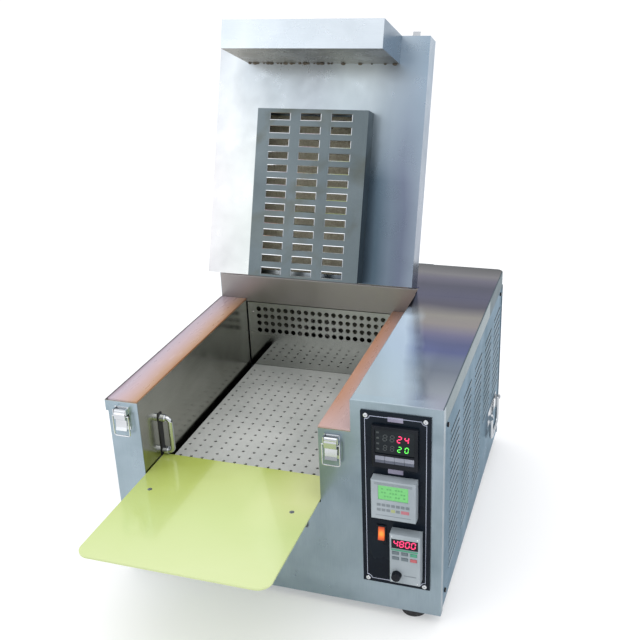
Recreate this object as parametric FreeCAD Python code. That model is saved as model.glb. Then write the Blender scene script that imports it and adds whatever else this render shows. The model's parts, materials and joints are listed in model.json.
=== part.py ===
import FreeCAD, Part
import math
import os

# A bench-top hot-air reflow oven with its hinged lid standing open.
# Millimetres. +Z is up, +X is the operator's right, and the operator stands on the -Y side.
# The origin is on the table, under the middle of the oven's bounding box.

V = FreeCAD.Vector

# ---- driving dimensions ---------------------------------------------------------------------
BODY_WIDTH = 570.0
BODY_DEPTH = 620.0
BODY_HEIGHT = 380.0
FOOT_HEIGHT = 18.0
FOOT_DIAMETER = 46.0
SKIN = 1.5                    # outer sheet
LINER = 1.0                   # chamber sheet
FIT = 0.05                    # radial clearance of a pin in its bore
LID_OPEN_DEG = 109.0
TRAY_REACH = 232.0            # how far the loading tray stands out in front

# ---- cabinet lines --------------------------------------------------------------------------
FRONT = -200.0
BACK = FRONT + BODY_DEPTH
RIGHT = BODY_WIDTH / 2
LEFT = -RIGHT
BASE = FOOT_HEIGHT
TOP = BASE + BODY_HEIGHT
STEP_X = 140.0                # left side of the raised control housing
CHAMBER_LEFT = -229.0
CHAMBER_RIGHT = 87.0
CHAMBER_MID = (CHAMBER_LEFT + CHAMBER_RIGHT) / 2
HINGE_WALL_Y = 277.0          # upright panel that carries the hinge
COVER_SEAM_Y = 245.0          # joint between the top cover and the rear deck
WALL_TOP = 344.0              # top of the wall gaskets
GASKET = 3.0
CAP_TOP = WALL_TOP - GASKET
CAP_LIP = 20.0
CAP_PROUD = 4.5
TRAY_TOP = 207.0
TRAY_THICK = 3.0
TRAY_GAP = 2.0
TRAY_REAR = -132.0
TRAY_CORNER = 22.0
PLATE_TOP = 192.0
FLOOR = 101.0
BAFFLE_Y = HINGE_WALL_Y + 1.0
COVER_LIP = 33.0
SIDE_RETURN = 15.0
INSET = 1.5
BEND = 5.0
COVER_BEND = 3.0
COVER_CORNER = 13.0           # rounding of the cover's rear corner, seen from above
LIP_GAP = 0.3                 # between the cover's lip and the panels below it

# ---- lid ------------------------------------------------------------------------------------
LID_LEFT = LEFT
LID_RIGHT = STEP_X - 2.0
LID_FRONT = FRONT + 5.0
LID_REAR = HINGE_WALL_Y - 2.0
LID_BOTTOM = WALL_TOP + 0.5
HINGE_Y = HINGE_WALL_Y - 1.0
HINGE_Z = TOP + 1.5
BOX_DEPTH = 52.0
BOX_LEFT = CHAMBER_LEFT + 3.6
BOX_RIGHT = CHAMBER_RIGHT - 3.7
BOX_BOTTOM = TRAY_TOP + 3.5
DUCT_LEFT = -182.4
DUCT_RIGHT = 39.9
DUCT_FRONT = -50.0
DUCT_REAR = 274.0
DUCT_DROP = 38.0

# ---- control panel --------------------------------------------------------------------------
PANEL_X = 212.0
PANEL_Z = 225.0
PANEL_W = 110.0
PANEL_H = 314.0
PANEL_T = 3.0
PANEL_FACE = FRONT - PANEL_T
PANEL_SCREW_X = 46.5
PANEL_SCREW_Z = 150.5
METER_SIZE = 72.0
METER_Z = 326.0
METER_PROUD = 7.0
RELAY_Z = 239.0
RELAY_PROUD = 18.0
SWITCH_X = 188.5
SWITCH_Z = 165.0
KEYPAD_X = 230.5
KEYPAD_Z = 134.0
KEYPAD_W = 49.0
KEYPAD_H = 92.0
KEYPAD_PROUD = 20.0
KEYPAD_FACE = PANEL_FACE - KEYPAD_PROUD
KNOB_X = 218.0
KNOB_Z = 105.0
SPINDLE_R = 3.0

LATCH_X = (-258.0, 110.0)
LATCH_PIVOT_Z = 326.0
LATCH_PIVOT_Y = FRONT - 6.5
LATCH_PIN_R = 1.5
BAIL_PIVOT_Z = 318.0
BAIL_PIVOT_Y = FRONT - 9.0
BAIL_WIRE_R = 1.25

GRIP_Y = 320.0
GRIP_Z = 132.0
GRIP_X = 291.0

GLAND_X = 215.0
GLAND_Z = 80.0
GLAND_R = 8.0                 # thread of the cable gland
GLAND_BORE_R = 4.0

FOOT_PLACES = [(x, y) for x in (-235.0, 235.0) for y in (-170.0, 392.0)]
FOOT_BOLT_R = 3.0
PAN_HEIGHT = 16.0
NOTCH_Z = TRAY_TOP - TRAY_THICK - 1.0     # lower edge of the loading opening in the front
UPRIGHT_Z = 338.0             # lower edge of the upright hinge panel

pieces = {}


# ---- helpers --------------------------------------------------------------------------------
def block(x, y, z):
    """A box between two values on each axis."""
    size = (x[1] - x[0], y[1] - y[0], z[1] - z[0])
    return Part.makeBox(size[0], size[1], size[2], V(x[0], y[0], z[0]))


def rod(start, direction, radius, length):
    """A solid cylinder from a point along a direction."""
    return Part.makeCylinder(radius, length, V(*start), V(*direction))


def tube(start, direction, outer, inner, length):
    """A hollow cylinder."""
    return rod(start, direction, outer, length).cut(rod(start, direction, inner, length))


def joined(*shapes):
    """One solid made of touching or crossing shapes."""
    whole = shapes[0].multiFuse(list(shapes[1:]))
    return whole.removeSplitter()


def group(shapes):
    """Separate solids kept side by side in one piece."""
    return Part.makeCompound(list(shapes))


def centred(middle, half):
    """The range that reaches the same way to both sides of a value."""
    return (middle - half, middle + half)


def at_plane(plane, level, u, v):
    """The 3-D point of a 2-D point on a plane, xy, xz or yz, at a level."""
    if plane == "xy":
        return V(u, v, level)
    if plane == "xz":
        return V(u, level, v)
    return V(level, u, v)


NORMAL = {"xy": V(0, 0, 1), "xz": V(0, 1, 0), "yz": V(1, 0, 0)}


def loop(plane, level, points):
    """A closed wire through 2-D points."""
    corners = [at_plane(plane, level, u, v) for u, v in points]
    return Part.makePolygon(corners + corners[:1])


def rectangle(u, v):
    return [(u[0], v[0]), (u[1], v[0]), (u[1], v[1]), (u[0], v[1])]


def ring(plane, level, u, v, radius):
    """A round wire."""
    return Part.Wire([Part.makeCircle(radius, at_plane(plane, level, u, v), NORMAL[plane])])


def sheet(plane, level, thick, outline, slots=(), rounds=()):
    """A flat sheet: its outline, rectangular slots (u, v ranges) and round holes (u, v, radius)."""
    wires = [loop(plane, level, outline)]
    wires += [loop(plane, level, rectangle(u, v)) for u, v in slots]
    wires += [ring(plane, level, u, v, radius) for u, v, radius in rounds]
    face = Part.makeFace(wires, "Part::FaceMakerBullseye")
    return face.extrude(NORMAL[plane] * thick)


def rounded(shape, radius, wanted):
    """Fillet the edges whose middle point and direction the test accepts."""
    edges = []
    for edge in shape.Edges:
        if edge.Curve.TypeId != "Part::GeomLine":
            continue
        if wanted(edge.CenterOfMass, edge.Curve.Direction):
            edges.append(edge)
    return shape.makeFillet(radius, edges)


def along(direction, axis):
    return abs(abs(direction.dot(axis)) - 1.0) < 1e-6


def near(value, target):
    return abs(value - target) < 0.01


# ---- screws ---------------------------------------------------------------------------------
SCREW_R = 2.0
SCREW_HEAD_R = 4.0
SCREW_HEAD_H = 2.4
SCREW_REACH = 9.0
FLUSH_HEAD_R = 4.2            # countersunk head, at the face of the sheet
FLUSH_HEAD_H = 2.2
FLUSH_SET = 0.1               # how far a flush head lies below the face

TRAY_SCREWS = [(-198.0, -243.0), (53.0, -243.0)]
PANEL_SCREWS = [(PANEL_X + sx * PANEL_SCREW_X, PANEL_Z + sz * PANEL_SCREW_Z)
                for sx in (-1, 1) for sz in (-1, 1)]
SIDE_SCREWS = [(y, z) for y in (-160.0, 396.0) for z in (40.0, 352.0)]
LEFT_SCREWS = [(y, z) for y in (-160.0, 396.0) for z in (40.0, 300.0)]
REAR_SCREWS = [(x, z) for x in (-265.0, 0.0, 265.0) for z in (44.0, 382.0)]


def screw(seat, inward):
    """A pan head machine screw: the seat is the point under the head, on the sheet's face."""
    outward = V(*inward) * -1
    head = Part.makeCylinder(SCREW_HEAD_R, SCREW_HEAD_H, V(*seat), outward)
    rim = [edge for edge in head.Edges
           if edge.Curve.TypeId == "Part::GeomCircle"
           and (edge.CenterOfMass - V(*seat)).Length > SCREW_HEAD_H / 2]
    head = head.makeFillet(SCREW_HEAD_H * 0.6, rim)
    drive = Part.makeCylinder(0.9, 1.6, V(*seat) + outward * (SCREW_HEAD_H - 1.5), outward)
    shank = rod(seat, inward, SCREW_R, SCREW_REACH)
    return head.cut(drive).fuse(shank)


def countersink(x, y, top):
    """The cone that a flush head fills, from the face of a level sheet down to the shank."""
    return Part.makeCone(SCREW_R, FLUSH_HEAD_R, FLUSH_HEAD_H, V(x, y, top - FLUSH_HEAD_H))


def flush_screw(x, y, top):
    """A countersunk machine screw, so that boards slide over it."""
    head = countersink(x, y, top).cut(rod((x, y, top - FLUSH_SET), (0, 0, 1), 2 * FLUSH_HEAD_R, 1.0))
    drive = rod((x, y, top - 1.6), (0, 0, 1), 0.9, 2.0)
    shank = rod((x, y, top - SCREW_REACH), (0, 0, 1), SCREW_R, SCREW_REACH - FLUSH_HEAD_H)
    return head.fuse(shank).cut(drive)


def all_screws():
    made = [screw((x, PANEL_FACE, z), (0, 1, 0)) for x, z in PANEL_SCREWS]
    made += [flush_screw(x, y, TRAY_TOP) for x, y in TRAY_SCREWS]
    made += [screw((RIGHT - INSET, y, z), (-1, 0, 0)) for y, z in SIDE_SCREWS]
    made += [screw((LEFT, y, z), (1, 0, 0)) for y, z in LEFT_SCREWS]
    made += [screw((x, BACK, z), (0, -1, 0)) for x, z in REAR_SCREWS]
    return group(made)


# ---- cabinet --------------------------------------------------------------------------------
def base_pan():
    outer = block((LEFT + SKIN, RIGHT - INSET - SKIN), (FRONT + SKIN, BACK - SKIN),
                  (BASE, BASE + PAN_HEIGHT))
    inner = block((LEFT + 2 * SKIN, RIGHT - INSET - 2 * SKIN),
                  (FRONT + 2 * SKIN, BACK - 2 * SKIN), (BASE + SKIN, BASE + PAN_HEIGHT + 1))
    pan = outer.cut(inner)
    for x, y in FOOT_PLACES:
        pan = pan.cut(rod((x, y, BASE - 1), (0, 0, 1), FOOT_BOLT_R, 2 * SKIN + 1))
    return pan


def front_panel():
    """The whole front in one sheet: two walls, the loading notch and the control housing."""
    lip_bottom = CAP_TOP - CAP_LIP
    outline = [
        (LEFT, BASE), (RIGHT, BASE), (RIGHT, TOP - SKIN), (STEP_X, TOP - SKIN), (STEP_X, CAP_TOP - LINER),
        (CHAMBER_RIGHT, CAP_TOP - LINER), (CHAMBER_RIGHT, NOTCH_Z),
        (CHAMBER_LEFT, NOTCH_Z), (CHAMBER_LEFT, CAP_TOP - LINER),
        (LEFT - CAP_PROUD, CAP_TOP - LINER), (LEFT - CAP_PROUD, lip_bottom), (LEFT, lip_bottom),
    ]
    window = [((PANEL_X - 42, PANEL_X + 45), (PANEL_Z - 140, PANEL_Z + 140))]
    holes = [(x, z, SCREW_R) for x, z in PANEL_SCREWS]
    face = sheet("xz", FRONT, SKIN, outline, window, holes)
    side = sheet("yz", RIGHT - SKIN, SKIN,
                 rectangle((FRONT + SKIN, FRONT + SIDE_RETURN), (BASE, TOP - SKIN)))
    inner = [(s, (FRONT + SKIN, FRONT + 10), (TRAY_TOP + 4, CAP_TOP - LINER - 1))
             for s in ((CHAMBER_LEFT - LINER - 1.5, CHAMBER_LEFT - LINER),
                       (CHAMBER_RIGHT + LINER, CHAMBER_RIGHT + LINER + 1.5))]
    whole = joined(face, side, *[block(*tab) for tab in inner])
    return rounded(whole, 1.2, lambda c, d: (
        along(d, V(0, 0, 1)) and near(c.x, RIGHT) and near(c.y, FRONT)))


def left_side_panel():
    outline = [(FRONT + SKIN, BASE), (BACK - SKIN, BASE), (BACK - SKIN, TOP - SKIN),
               (HINGE_WALL_Y + SKIN, TOP - SKIN), (HINGE_WALL_Y + SKIN, CAP_TOP - LINER),
               (FRONT + SKIN, CAP_TOP - LINER)]
    return sheet("yz", LEFT, SKIN, outline, (), [(y, z, SCREW_R) for y, z in LEFT_SCREWS])


LOUVRE_LENGTH = 75.0
LOUVRE_PITCH_Y = 113.5
LOUVRE_COLUMNS = 5
LOUVRE_FIRST_Y = FRONT + 68.0
LOUVRE_PITCH_Z = 15.0
LOUVRE_ROWS = 18
LOUVRE_TOP = 325.0
LOUVRE_OPEN = 4.0
GRIP_CLEAR_Y = 90.0           # no louvres this near to the carrying grip
GRIP_CLEAR_BELOW = 70.0
GRIP_CLEAR_ABOVE = 20.0


def right_side_panel():
    """The control housing's side, set in behind the cover's lip, with five columns of louvre slots."""
    under_lip = TOP - COVER_LIP - LIP_GAP
    corner = BACK - COVER_CORNER - 1
    outline = [(FRONT + SKIN, BASE), (BACK - SKIN, BASE), (BACK - SKIN, under_lip), (corner, under_lip),
               (corner, TOP - SKIN), (FRONT + SKIN, TOP - SKIN)]
    slots = []
    for column in range(LOUVRE_COLUMNS):
        y = LOUVRE_FIRST_Y + column * LOUVRE_PITCH_Y
        for row in range(LOUVRE_ROWS):
            z = LOUVRE_TOP - row * LOUVRE_PITCH_Z
            beside_grip = abs(y + LOUVRE_LENGTH / 2 - GRIP_Y) < GRIP_CLEAR_Y
            if beside_grip and GRIP_Z - GRIP_CLEAR_BELOW < z < GRIP_Z + GRIP_CLEAR_ABOVE:
                continue
            slots.append(((y, y + LOUVRE_LENGTH), (z - LOUVRE_OPEN, z)))
    holes = [(y, z, SCREW_R) for y, z in SIDE_SCREWS]
    return sheet("yz", RIGHT - INSET - SKIN, SKIN, outline, slots, holes)


def top_cover():
    """The control housing's top, folded down over both sides."""
    depth = (FRONT, COVER_SEAM_Y - 0.4)
    solid = block((STEP_X, RIGHT), depth, (TOP - COVER_LIP, TOP))
    solid = rounded(solid, COVER_BEND, lambda c, d: along(d, V(0, 1, 0)) and near(c.z, TOP))
    hollow = block((STEP_X + SKIN, RIGHT - SKIN), (FRONT - 1, COVER_SEAM_Y + 1), (0, TOP - SKIN))
    shell = solid.cut(hollow)
    step_wall = block((STEP_X, STEP_X + SKIN), (FRONT + SKIN, depth[1]), (CAP_TOP, TOP - COVER_LIP))
    for x, behind in (((RIGHT - SKIN, RIGHT + 1), SIDE_RETURN), ((STEP_X - 1, STEP_X + SKIN), SKIN)):
        shell = shell.cut(block(x, (FRONT - 1, FRONT + behind), (0, TOP - SKIN)))
    return joined(shell, step_wall)


def cover_end(left, front, low, inset):
    """The block under the cover's rear right corner, rounded in plan and drawn in by an inset."""
    solid = block((left, RIGHT - inset), (front, BACK - inset), (low, TOP - inset))
    return rounded(solid, COVER_CORNER - inset, lambda c, d: (
        along(d, V(0, 0, 1)) and near(c.x, RIGHT - inset) and near(c.y, BACK - inset)))


def rear_deck():
    """The fixed rear top: it carries the hinge and ends in the upright panel above the baffle."""
    deck = block((LEFT, STEP_X), (HINGE_WALL_Y, BACK - SKIN), (TOP - SKIN, TOP))
    upright = block((LEFT + SKIN, STEP_X), (HINGE_WALL_Y, HINGE_WALL_Y + SKIN), (UPRIGHT_Z, TOP))
    corner = block((LEFT + SKIN, STEP_X), (HINGE_WALL_Y, HINGE_WALL_Y + BEND), (TOP - BEND, TOP))
    full = block((LEFT, STEP_X), (HINGE_WALL_Y, BACK - SKIN), (UPRIGHT_Z, TOP))
    full = rounded(full, BEND, lambda c, d: (
        along(d, V(1, 0, 0)) and near(c.z, TOP) and near(c.y, HINGE_WALL_Y)))
    bent = full.common(joined(deck, upright, corner))
    wing = cover_end(STEP_X, COVER_SEAM_Y, TOP - COVER_LIP, 0.0)
    wing = rounded(wing, COVER_BEND, lambda c, d: (
        along(d, V(0, 1, 0)) and near(c.z, TOP) and near(c.x, RIGHT)))
    wing = wing.cut(cover_end(STEP_X - 1, COVER_SEAM_Y - 1, BASE, SKIN))
    for x, z in REAR_SCREWS:
        wing = wing.cut(rod((x, BACK - SKIN - 1, z), (0, 1, 0), SCREW_R, SKIN + 2))
    side = block((STEP_X, STEP_X + SKIN), (COVER_SEAM_Y, HINGE_WALL_Y + SKIN), (CAP_TOP, TOP - SKIN))
    return joined(bent, wing, side)


def rear_panel():
    under_lip = TOP - COVER_LIP - LIP_GAP
    outline = [(LEFT, BASE), (RIGHT, BASE), (RIGHT, under_lip), (STEP_X - LIP_GAP, under_lip),
               (STEP_X - LIP_GAP, TOP), (LEFT, TOP)]
    vents = [((x, x + 60.0), (z, z + 4.0)) for x in (-100.0, -20.0) for z in range(190, 290, 12)]
    holes = [(x, z, SCREW_R) for x, z in REAR_SCREWS if x < STEP_X or z < under_lip]
    holes += [(GLAND_X, GLAND_Z, GLAND_R)]
    return sheet("xz", BACK - SKIN, SKIN, outline, vents, holes)


GLAND_HEX = 12.0


def power_inlet():
    """The mains cable gland: a threaded body through the rear panel, a nut inside and a cap outside."""
    body = rod((GLAND_X, BACK - 14, GLAND_Z), (0, 1, 0), GLAND_R, 14.0)
    turns = [math.radians(60 * k) for k in range(7)]
    corners = [V(GLAND_X + GLAND_HEX * math.cos(turn), BACK, GLAND_Z + GLAND_HEX * math.sin(turn))
               for turn in turns]
    flange = Part.Face(Part.makePolygon(corners)).extrude(V(0, 5, 0))
    dome = rod((GLAND_X, BACK + 5, GLAND_Z), (0, 1, 0), 9.0, 6.0)
    nut = rod((GLAND_X, BACK - SKIN - 4, GLAND_Z), (0, 1, 0), GLAND_HEX, 4.0)
    bore = rod((GLAND_X, BACK - 15, GLAND_Z), (0, 1, 0), GLAND_BORE_R, 30.0)
    return joined(body, flange, dome, nut).cut(bore)


BUFFER_PLACES = [(x, z) for x in (-240.0, 240.0) for z in (45.0, 365.0)]


def rear_bumpers():
    """Rubber buffers that keep the hot back off a wall."""
    return group([Part.makeCone(11.0, 8.0, 12.0, V(x, BACK, z), V(0, 1, 0)) for x, z in BUFFER_PLACES])


def feet():
    made = []
    for x, y in FOOT_PLACES:
        foot = Part.makeCone(FOOT_DIAMETER / 2 - 1.5, FOOT_DIAMETER / 2, FOOT_HEIGHT, V(x, y, 0))
        recess = rod((x, y, 0), (0, 0, 1), 8.0, 9.0)
        bolt_way = rod((x, y, 0), (0, 0, 1), FOOT_BOLT_R, FOOT_HEIGHT)
        made.append(foot.cut(recess).cut(bolt_way))
    return group(made)


# ---- chamber --------------------------------------------------------------------------------
def liner(inner, outer_edge, lip):
    """A chamber wall sheet folded out over the wall's top; the left one also laps down outside."""
    side = -1 if outer_edge < inner else 1
    wall = (min(inner, inner + side * LINER), max(inner, inner + side * LINER))
    upright = block(wall, (FRONT + SKIN, HINGE_WALL_Y), (FLOOR, CAP_TOP))
    cap = block((min(inner, outer_edge), max(inner, outer_edge)), (FRONT, HINGE_WALL_Y),
                (CAP_TOP - LINER, CAP_TOP))
    parts = [upright, cap]
    if lip:
        parts.append(block((outer_edge, outer_edge + LINER), (FRONT + SKIN, HINGE_WALL_Y),
                           (CAP_TOP - CAP_LIP, CAP_TOP)))
    return joined(*parts)


def gasket(x):
    strip = block(x, (FRONT + 1, HINGE_WALL_Y - 0.5), (CAP_TOP, WALL_TOP))
    return rounded(strip, 1.0, lambda c, d: along(d, V(0, 1, 0)) and near(c.z, WALL_TOP))


PLENUM_X = (-212.0, 70.0)
PLENUM_Y = (-132.0, 262.0)


def chamber_floor():
    """The floor sheet with the plenum walls that hold the perforated plate up."""
    floor = block((CHAMBER_LEFT, CHAMBER_RIGHT), (FRONT + SKIN, HINGE_WALL_Y + 14), (FLOOR - LINER, FLOOR))
    outer = block(PLENUM_X, PLENUM_Y, (FLOOR - LINER, PLATE_TOP - PLATE_THICK))
    inner = block((PLENUM_X[0] + LINER, PLENUM_X[1] - LINER), (PLENUM_Y[0] + LINER, PLENUM_Y[1] - LINER),
                  (FLOOR, PLATE_TOP))
    outlet = block((OUTLET_X[0], OUTLET_X[1]), (PLENUM_Y[1] - 5, PLENUM_Y[1] + 5), OUTLET_Z)
    front = block((CHAMBER_LEFT, CHAMBER_RIGHT), (FRONT + SKIN, FRONT + SKIN + LINER),
                  (FLOOR - LINER, NOTCH_Z))
    return joined(floor, outer.cut(inner).cut(outlet), front)


def wall_insulation():
    """Mineral wool slabs in both walls and under the floor."""
    depth = (FRONT + 4, HINGE_WALL_Y - 4)
    left = block((LEFT + 11, CHAMBER_LEFT - 3), depth, (60.0, CAP_TOP - 3))
    right = block((CHAMBER_RIGHT + 3, STEP_X - 3), depth, (60.0, CAP_TOP - 3))
    under = block((CHAMBER_LEFT, CHAMBER_RIGHT), depth, (60.0, FLOOR - 3))
    return group([left, right, under])


PLATE_X = (-220.0, 78.0)
PLATE_Y = (-138.0, BAFFLE_Y - 0.7)
PLATE_THICK = 2.0
PLATE_HOLE_R = 2.8
PLATE_COLUMNS = 14
PLATE_ROWS = 20
PLATE_PITCH_X = 21.1
PLATE_PITCH_Y = 19.75
PLATE_FIRST = (PLATE_X[0] + 10.5, PLATE_Y[0] + 11.0)


def perforated_plate():
    """The work plate, with a square field of small air holes."""
    holes = [(PLATE_FIRST[0] + column * PLATE_PITCH_X, PLATE_FIRST[1] + row * PLATE_PITCH_Y, PLATE_HOLE_R)
             for column in range(PLATE_COLUMNS) for row in range(PLATE_ROWS)]
    return sheet("xy", PLATE_TOP - PLATE_THICK, PLATE_THICK, rectangle(PLATE_X, PLATE_Y), (), holes)


BAFFLE_HOLE_R = 5.2
BAFFLE_COLUMNS = 19
BAFFLE_ROWS = 4
BAFFLE_PITCH = 15.0
BAFFLE_PITCH_Z = 16.0
BAFFLE_TOP = 336.0
BAFFLE_ROW_TOP = 322.0


def rear_baffle():
    """The polished return-air grille across the chamber's rear, standing close behind the plate."""
    width = (CHAMBER_LEFT + 2, CHAMBER_RIGHT - 2)
    first = CHAMBER_MID + 3 - BAFFLE_PITCH * (BAFFLE_COLUMNS - 1) / 2
    holes = [(first + k * BAFFLE_PITCH, BAFFLE_ROW_TOP - row * BAFFLE_PITCH_Z, BAFFLE_HOLE_R)
             for k in range(BAFFLE_COLUMNS) for row in range(BAFFLE_ROWS)]
    face = sheet("xz", BAFFLE_Y, LINER, rectangle(width, (PLATE_TOP - PLATE_THICK, BAFFLE_TOP)), (), holes)
    fold = block(width, (BAFFLE_Y, BAFFLE_Y + 10), (BAFFLE_TOP - LINER, BAFFLE_TOP))
    return joined(face, fold)


HANDLE_Y = -132.0
HANDLE_Z = (214.5, 278.5)
HANDLE_REACH = 20.0
HANDLE_R = 4.6


def u_bar(feet_points, reach, radius, bend):
    """A round bar bent to a U: straight arms out of two points, with rounded corners."""
    a, b = [V(*p) for p in feet_points]
    out = V(*reach)
    span = b.sub(a)
    u = span * (1.0 / span.Length)
    w = out * (1.0 / out.Length)
    a1 = a + out
    b1 = b + out
    middle = math.sqrt(0.5)
    arc1 = Part.Arc(a1 - w * bend, a1 - w * bend * (1 - middle) + u * bend * (1 - middle), a1 + u * bend)
    arc2 = Part.Arc(b1 - u * bend, b1 - u * bend * (1 - middle) - w * bend * (1 - middle), b1 - w * bend)
    path = Part.Wire([
        Part.LineSegment(a, a1 - w * bend).toShape(), arc1.toShape(),
        Part.LineSegment(a1 + u * bend, b1 - u * bend).toShape(), arc2.toShape(),
        Part.LineSegment(b1 - w * bend, b).toShape()])
    profile = Part.Wire([Part.makeCircle(radius, a, w)])
    return path.makePipeShell([profile], True, True)


def chamber_handle():
    points = [(CHAMBER_LEFT, HANDLE_Y, z) for z in HANDLE_Z]
    return u_bar(points, (HANDLE_REACH, 0, 0), HANDLE_R, 7.5)


def handle_backing():
    """The dark strip between the handle and the wall."""
    strip = block((CHAMBER_LEFT, CHAMBER_LEFT + 1.5), (HANDLE_Y - 6.5, HANDLE_Y + 6.5),
                  (HANDLE_Z[0] - 9, HANDLE_Z[1] + 9))
    for z in HANDLE_Z:
        strip = strip.cut(rod((CHAMBER_LEFT - 1, HANDLE_Y, z), (1, 0, 0), HANDLE_R, 5.0))
    return strip


# ---- hot air system -------------------------------------------------------------------------
HEATER_R = 4.0
HEATER_Z = 150.0
HEATER_LEGS = 44.0            # between the two legs of one hairpin
HEATER_X = (-171.0, -105.0, -37.0, 29.0)


def hairpin(x, y, z, width, radius):
    """A tubular heater bent to a hairpin whose legs run along Y; y gives its closed and open ends."""
    points = [(x - width / 2, y[1], z), (x + width / 2, y[1], z)]
    return u_bar(points, (0, y[0] - y[1], 0), radius, width / 2 - 0.5)


def heater_elements():
    return group([hairpin(x, (-100.0, 230.0), HEATER_Z, HEATER_LEGS, HEATER_R) for x in HEATER_X])


SCROLL_X = CHAMBER_MID
SCROLL_Z = 248.0
SCROLL_Y = (292.0, 346.0)
SCROLL_SHEET = 1.2
SCROLL_R = 82.0
INLET_R = 58.0
WHEEL_R = 66.0
OUTLET_X = (-111.0, -31.0)
OUTLET_Z = (112.0, 172.0)


def blower_scroll():
    """The bulkhead behind the baffle with the fan housing on it, and the outlet throat below."""
    front, back = SCROLL_Y
    bulkhead = block((CHAMBER_LEFT - LINER, CHAMBER_RIGHT + LINER), (front - SCROLL_SHEET, front),
                     (FLOOR, UPRIGHT_Z - 1))
    drum = rod((SCROLL_X, front, SCROLL_Z), (0, 1, 0), SCROLL_R, back - front)
    throat = block(OUTLET_X, SCROLL_Y, (OUTLET_Z[0] - 8, SCROLL_Z))
    drum_way = rod((SCROLL_X, front - 2, SCROLL_Z), (0, 1, 0), SCROLL_R - SCROLL_SHEET,
                   back - front + 2 - SCROLL_SHEET)
    throat_way = block((OUTLET_X[0] + SCROLL_SHEET, OUTLET_X[1] - SCROLL_SHEET),
                       (front - 2, back - SCROLL_SHEET), (OUTLET_Z[0] - 8 + SCROLL_SHEET, SCROLL_Z))
    shell = joined(drum, throat).cut(joined(drum_way, throat_way))
    plate = bulkhead.cut(rod((SCROLL_X, front - 5, SCROLL_Z), (0, 1, 0), INLET_R, 10))
    plate = plate.cut(block((OUTLET_X[0] + 4, OUTLET_X[1] - 4), (front - 5, front + 5), OUTLET_Z))
    shaft_way = rod((SCROLL_X, back - 5, SCROLL_Z), (0, 1, 0), 3 * SHAFT_R, 10.0)
    return joined(plate, shell).cut(shaft_way)


WHEEL_Y = (298.0, 336.0)
SHAFT_R = 4.0
BLADES = 24
BLADE_DEG = 35.0


def blower_wheel():
    """A forward-curved centrifugal wheel: back plate, hub, blades and front ring."""
    back = rod((SCROLL_X, WHEEL_Y[1] - 1.5, SCROLL_Z), (0, 1, 0), WHEEL_R, 1.5)
    hub = rod((SCROLL_X, WHEEL_Y[1] - 22, SCROLL_Z), (0, 1, 0), 11.0, 22.0)
    front = tube((SCROLL_X, WHEEL_Y[0], SCROLL_Z), (0, 1, 0), WHEEL_R, WHEEL_R - 12, 1.5)
    blades = []
    rim = SCROLL_X + WHEEL_R
    for k in range(BLADES):
        blade = block((rim - 12.5, rim - 1.5), (WHEEL_Y[0] + 0.5, WHEEL_Y[1] - 0.5), centred(SCROLL_Z, 0.5))
        blade.rotate(V(rim - 7, 0, SCROLL_Z), V(0, 1, 0), BLADE_DEG)
        blade.rotate(V(SCROLL_X, 0, SCROLL_Z), V(0, 1, 0), 360.0 * k / BLADES)
        blades.append(blade)
    wheel = joined(back, hub, front, *blades)
    return wheel.cut(rod((SCROLL_X, WHEEL_Y[0], SCROLL_Z), (0, 1, 0), SHAFT_R, 60.0))


MOTOR_Y = (347.0, 412.0)
MOTOR_R = 45.0
MOTOR_FLANGE = 50.0


def blower_shaft():
    start = WHEEL_Y[0] + 14
    return rod((SCROLL_X, start, SCROLL_Z), (0, 1, 0), SHAFT_R, MOTOR_Y[1] - 8 - start)


def blower_motor():
    """The motor can with its flange and two bearing seats around the shaft."""
    can = rod((SCROLL_X, MOTOR_Y[0], SCROLL_Z), (0, 1, 0), MOTOR_R, MOTOR_Y[1] - MOTOR_Y[0])
    flange = block(centred(SCROLL_X, MOTOR_FLANGE), (MOTOR_Y[0], MOTOR_Y[0] + 4),
                   centred(SCROLL_Z, MOTOR_FLANGE))
    hollow = rod((SCROLL_X, MOTOR_Y[0] + 14, SCROLL_Z), (0, 1, 0), 20.0, MOTOR_Y[1] - MOTOR_Y[0] - 28)
    bore = rod((SCROLL_X, MOTOR_Y[0] - 1, SCROLL_Z), (0, 1, 0), SHAFT_R + FIT, MOTOR_Y[1] - MOTOR_Y[0] - 4)
    return joined(can, flange).cut(hollow).cut(bore)


SINK_X = (170.0, 230.0)
SINK_Y = (60.0, 150.0)
SINK_FINS = 9
FIN_PITCH = 7.2
FIN_THICK = 1.6


def solid_state_relay():
    """The heater relay on its finned heat sink, on the floor of the control housing."""
    floor = BASE + SKIN
    sink = [block(SINK_X, SINK_Y, (floor, floor + 6))]
    for k in range(SINK_FINS):
        x = SINK_X[0] + k * FIN_PITCH
        sink.append(block((x, x + FIN_THICK), SINK_Y, (floor + 5.9, floor + 34)))
    sink.append(block(SINK_X, (90.0, 120.0), (floor + 30, floor + 36)))
    relay = block((177.0, 222.0), (76.0, 134.0), (floor + 36, floor + 60))
    return joined(*sink, relay)


# ---- loading tray ---------------------------------------------------------------------------
def loading_tray():
    """The glass-epoxy loading shelf with rounded front corners."""
    x = (CHAMBER_LEFT + TRAY_GAP, CHAMBER_RIGHT - TRAY_GAP)
    y = (FRONT - TRAY_REACH, TRAY_REAR)
    board = sheet("xy", TRAY_TOP - TRAY_THICK, TRAY_THICK, rectangle(x, y), (),
                  [(sx, sy, SCREW_R) for sx, sy in TRAY_SCREWS])
    for sx, sy in TRAY_SCREWS:
        board = board.cut(countersink(sx, sy, TRAY_TOP))
    return rounded(board, TRAY_CORNER, lambda c, d: along(d, V(0, 0, 1)) and near(c.y, y[0]))


BRACKET_HALF = 10.0
BRACKET_ARM = 60.0
BRACKET_LEG = 52.0


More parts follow.
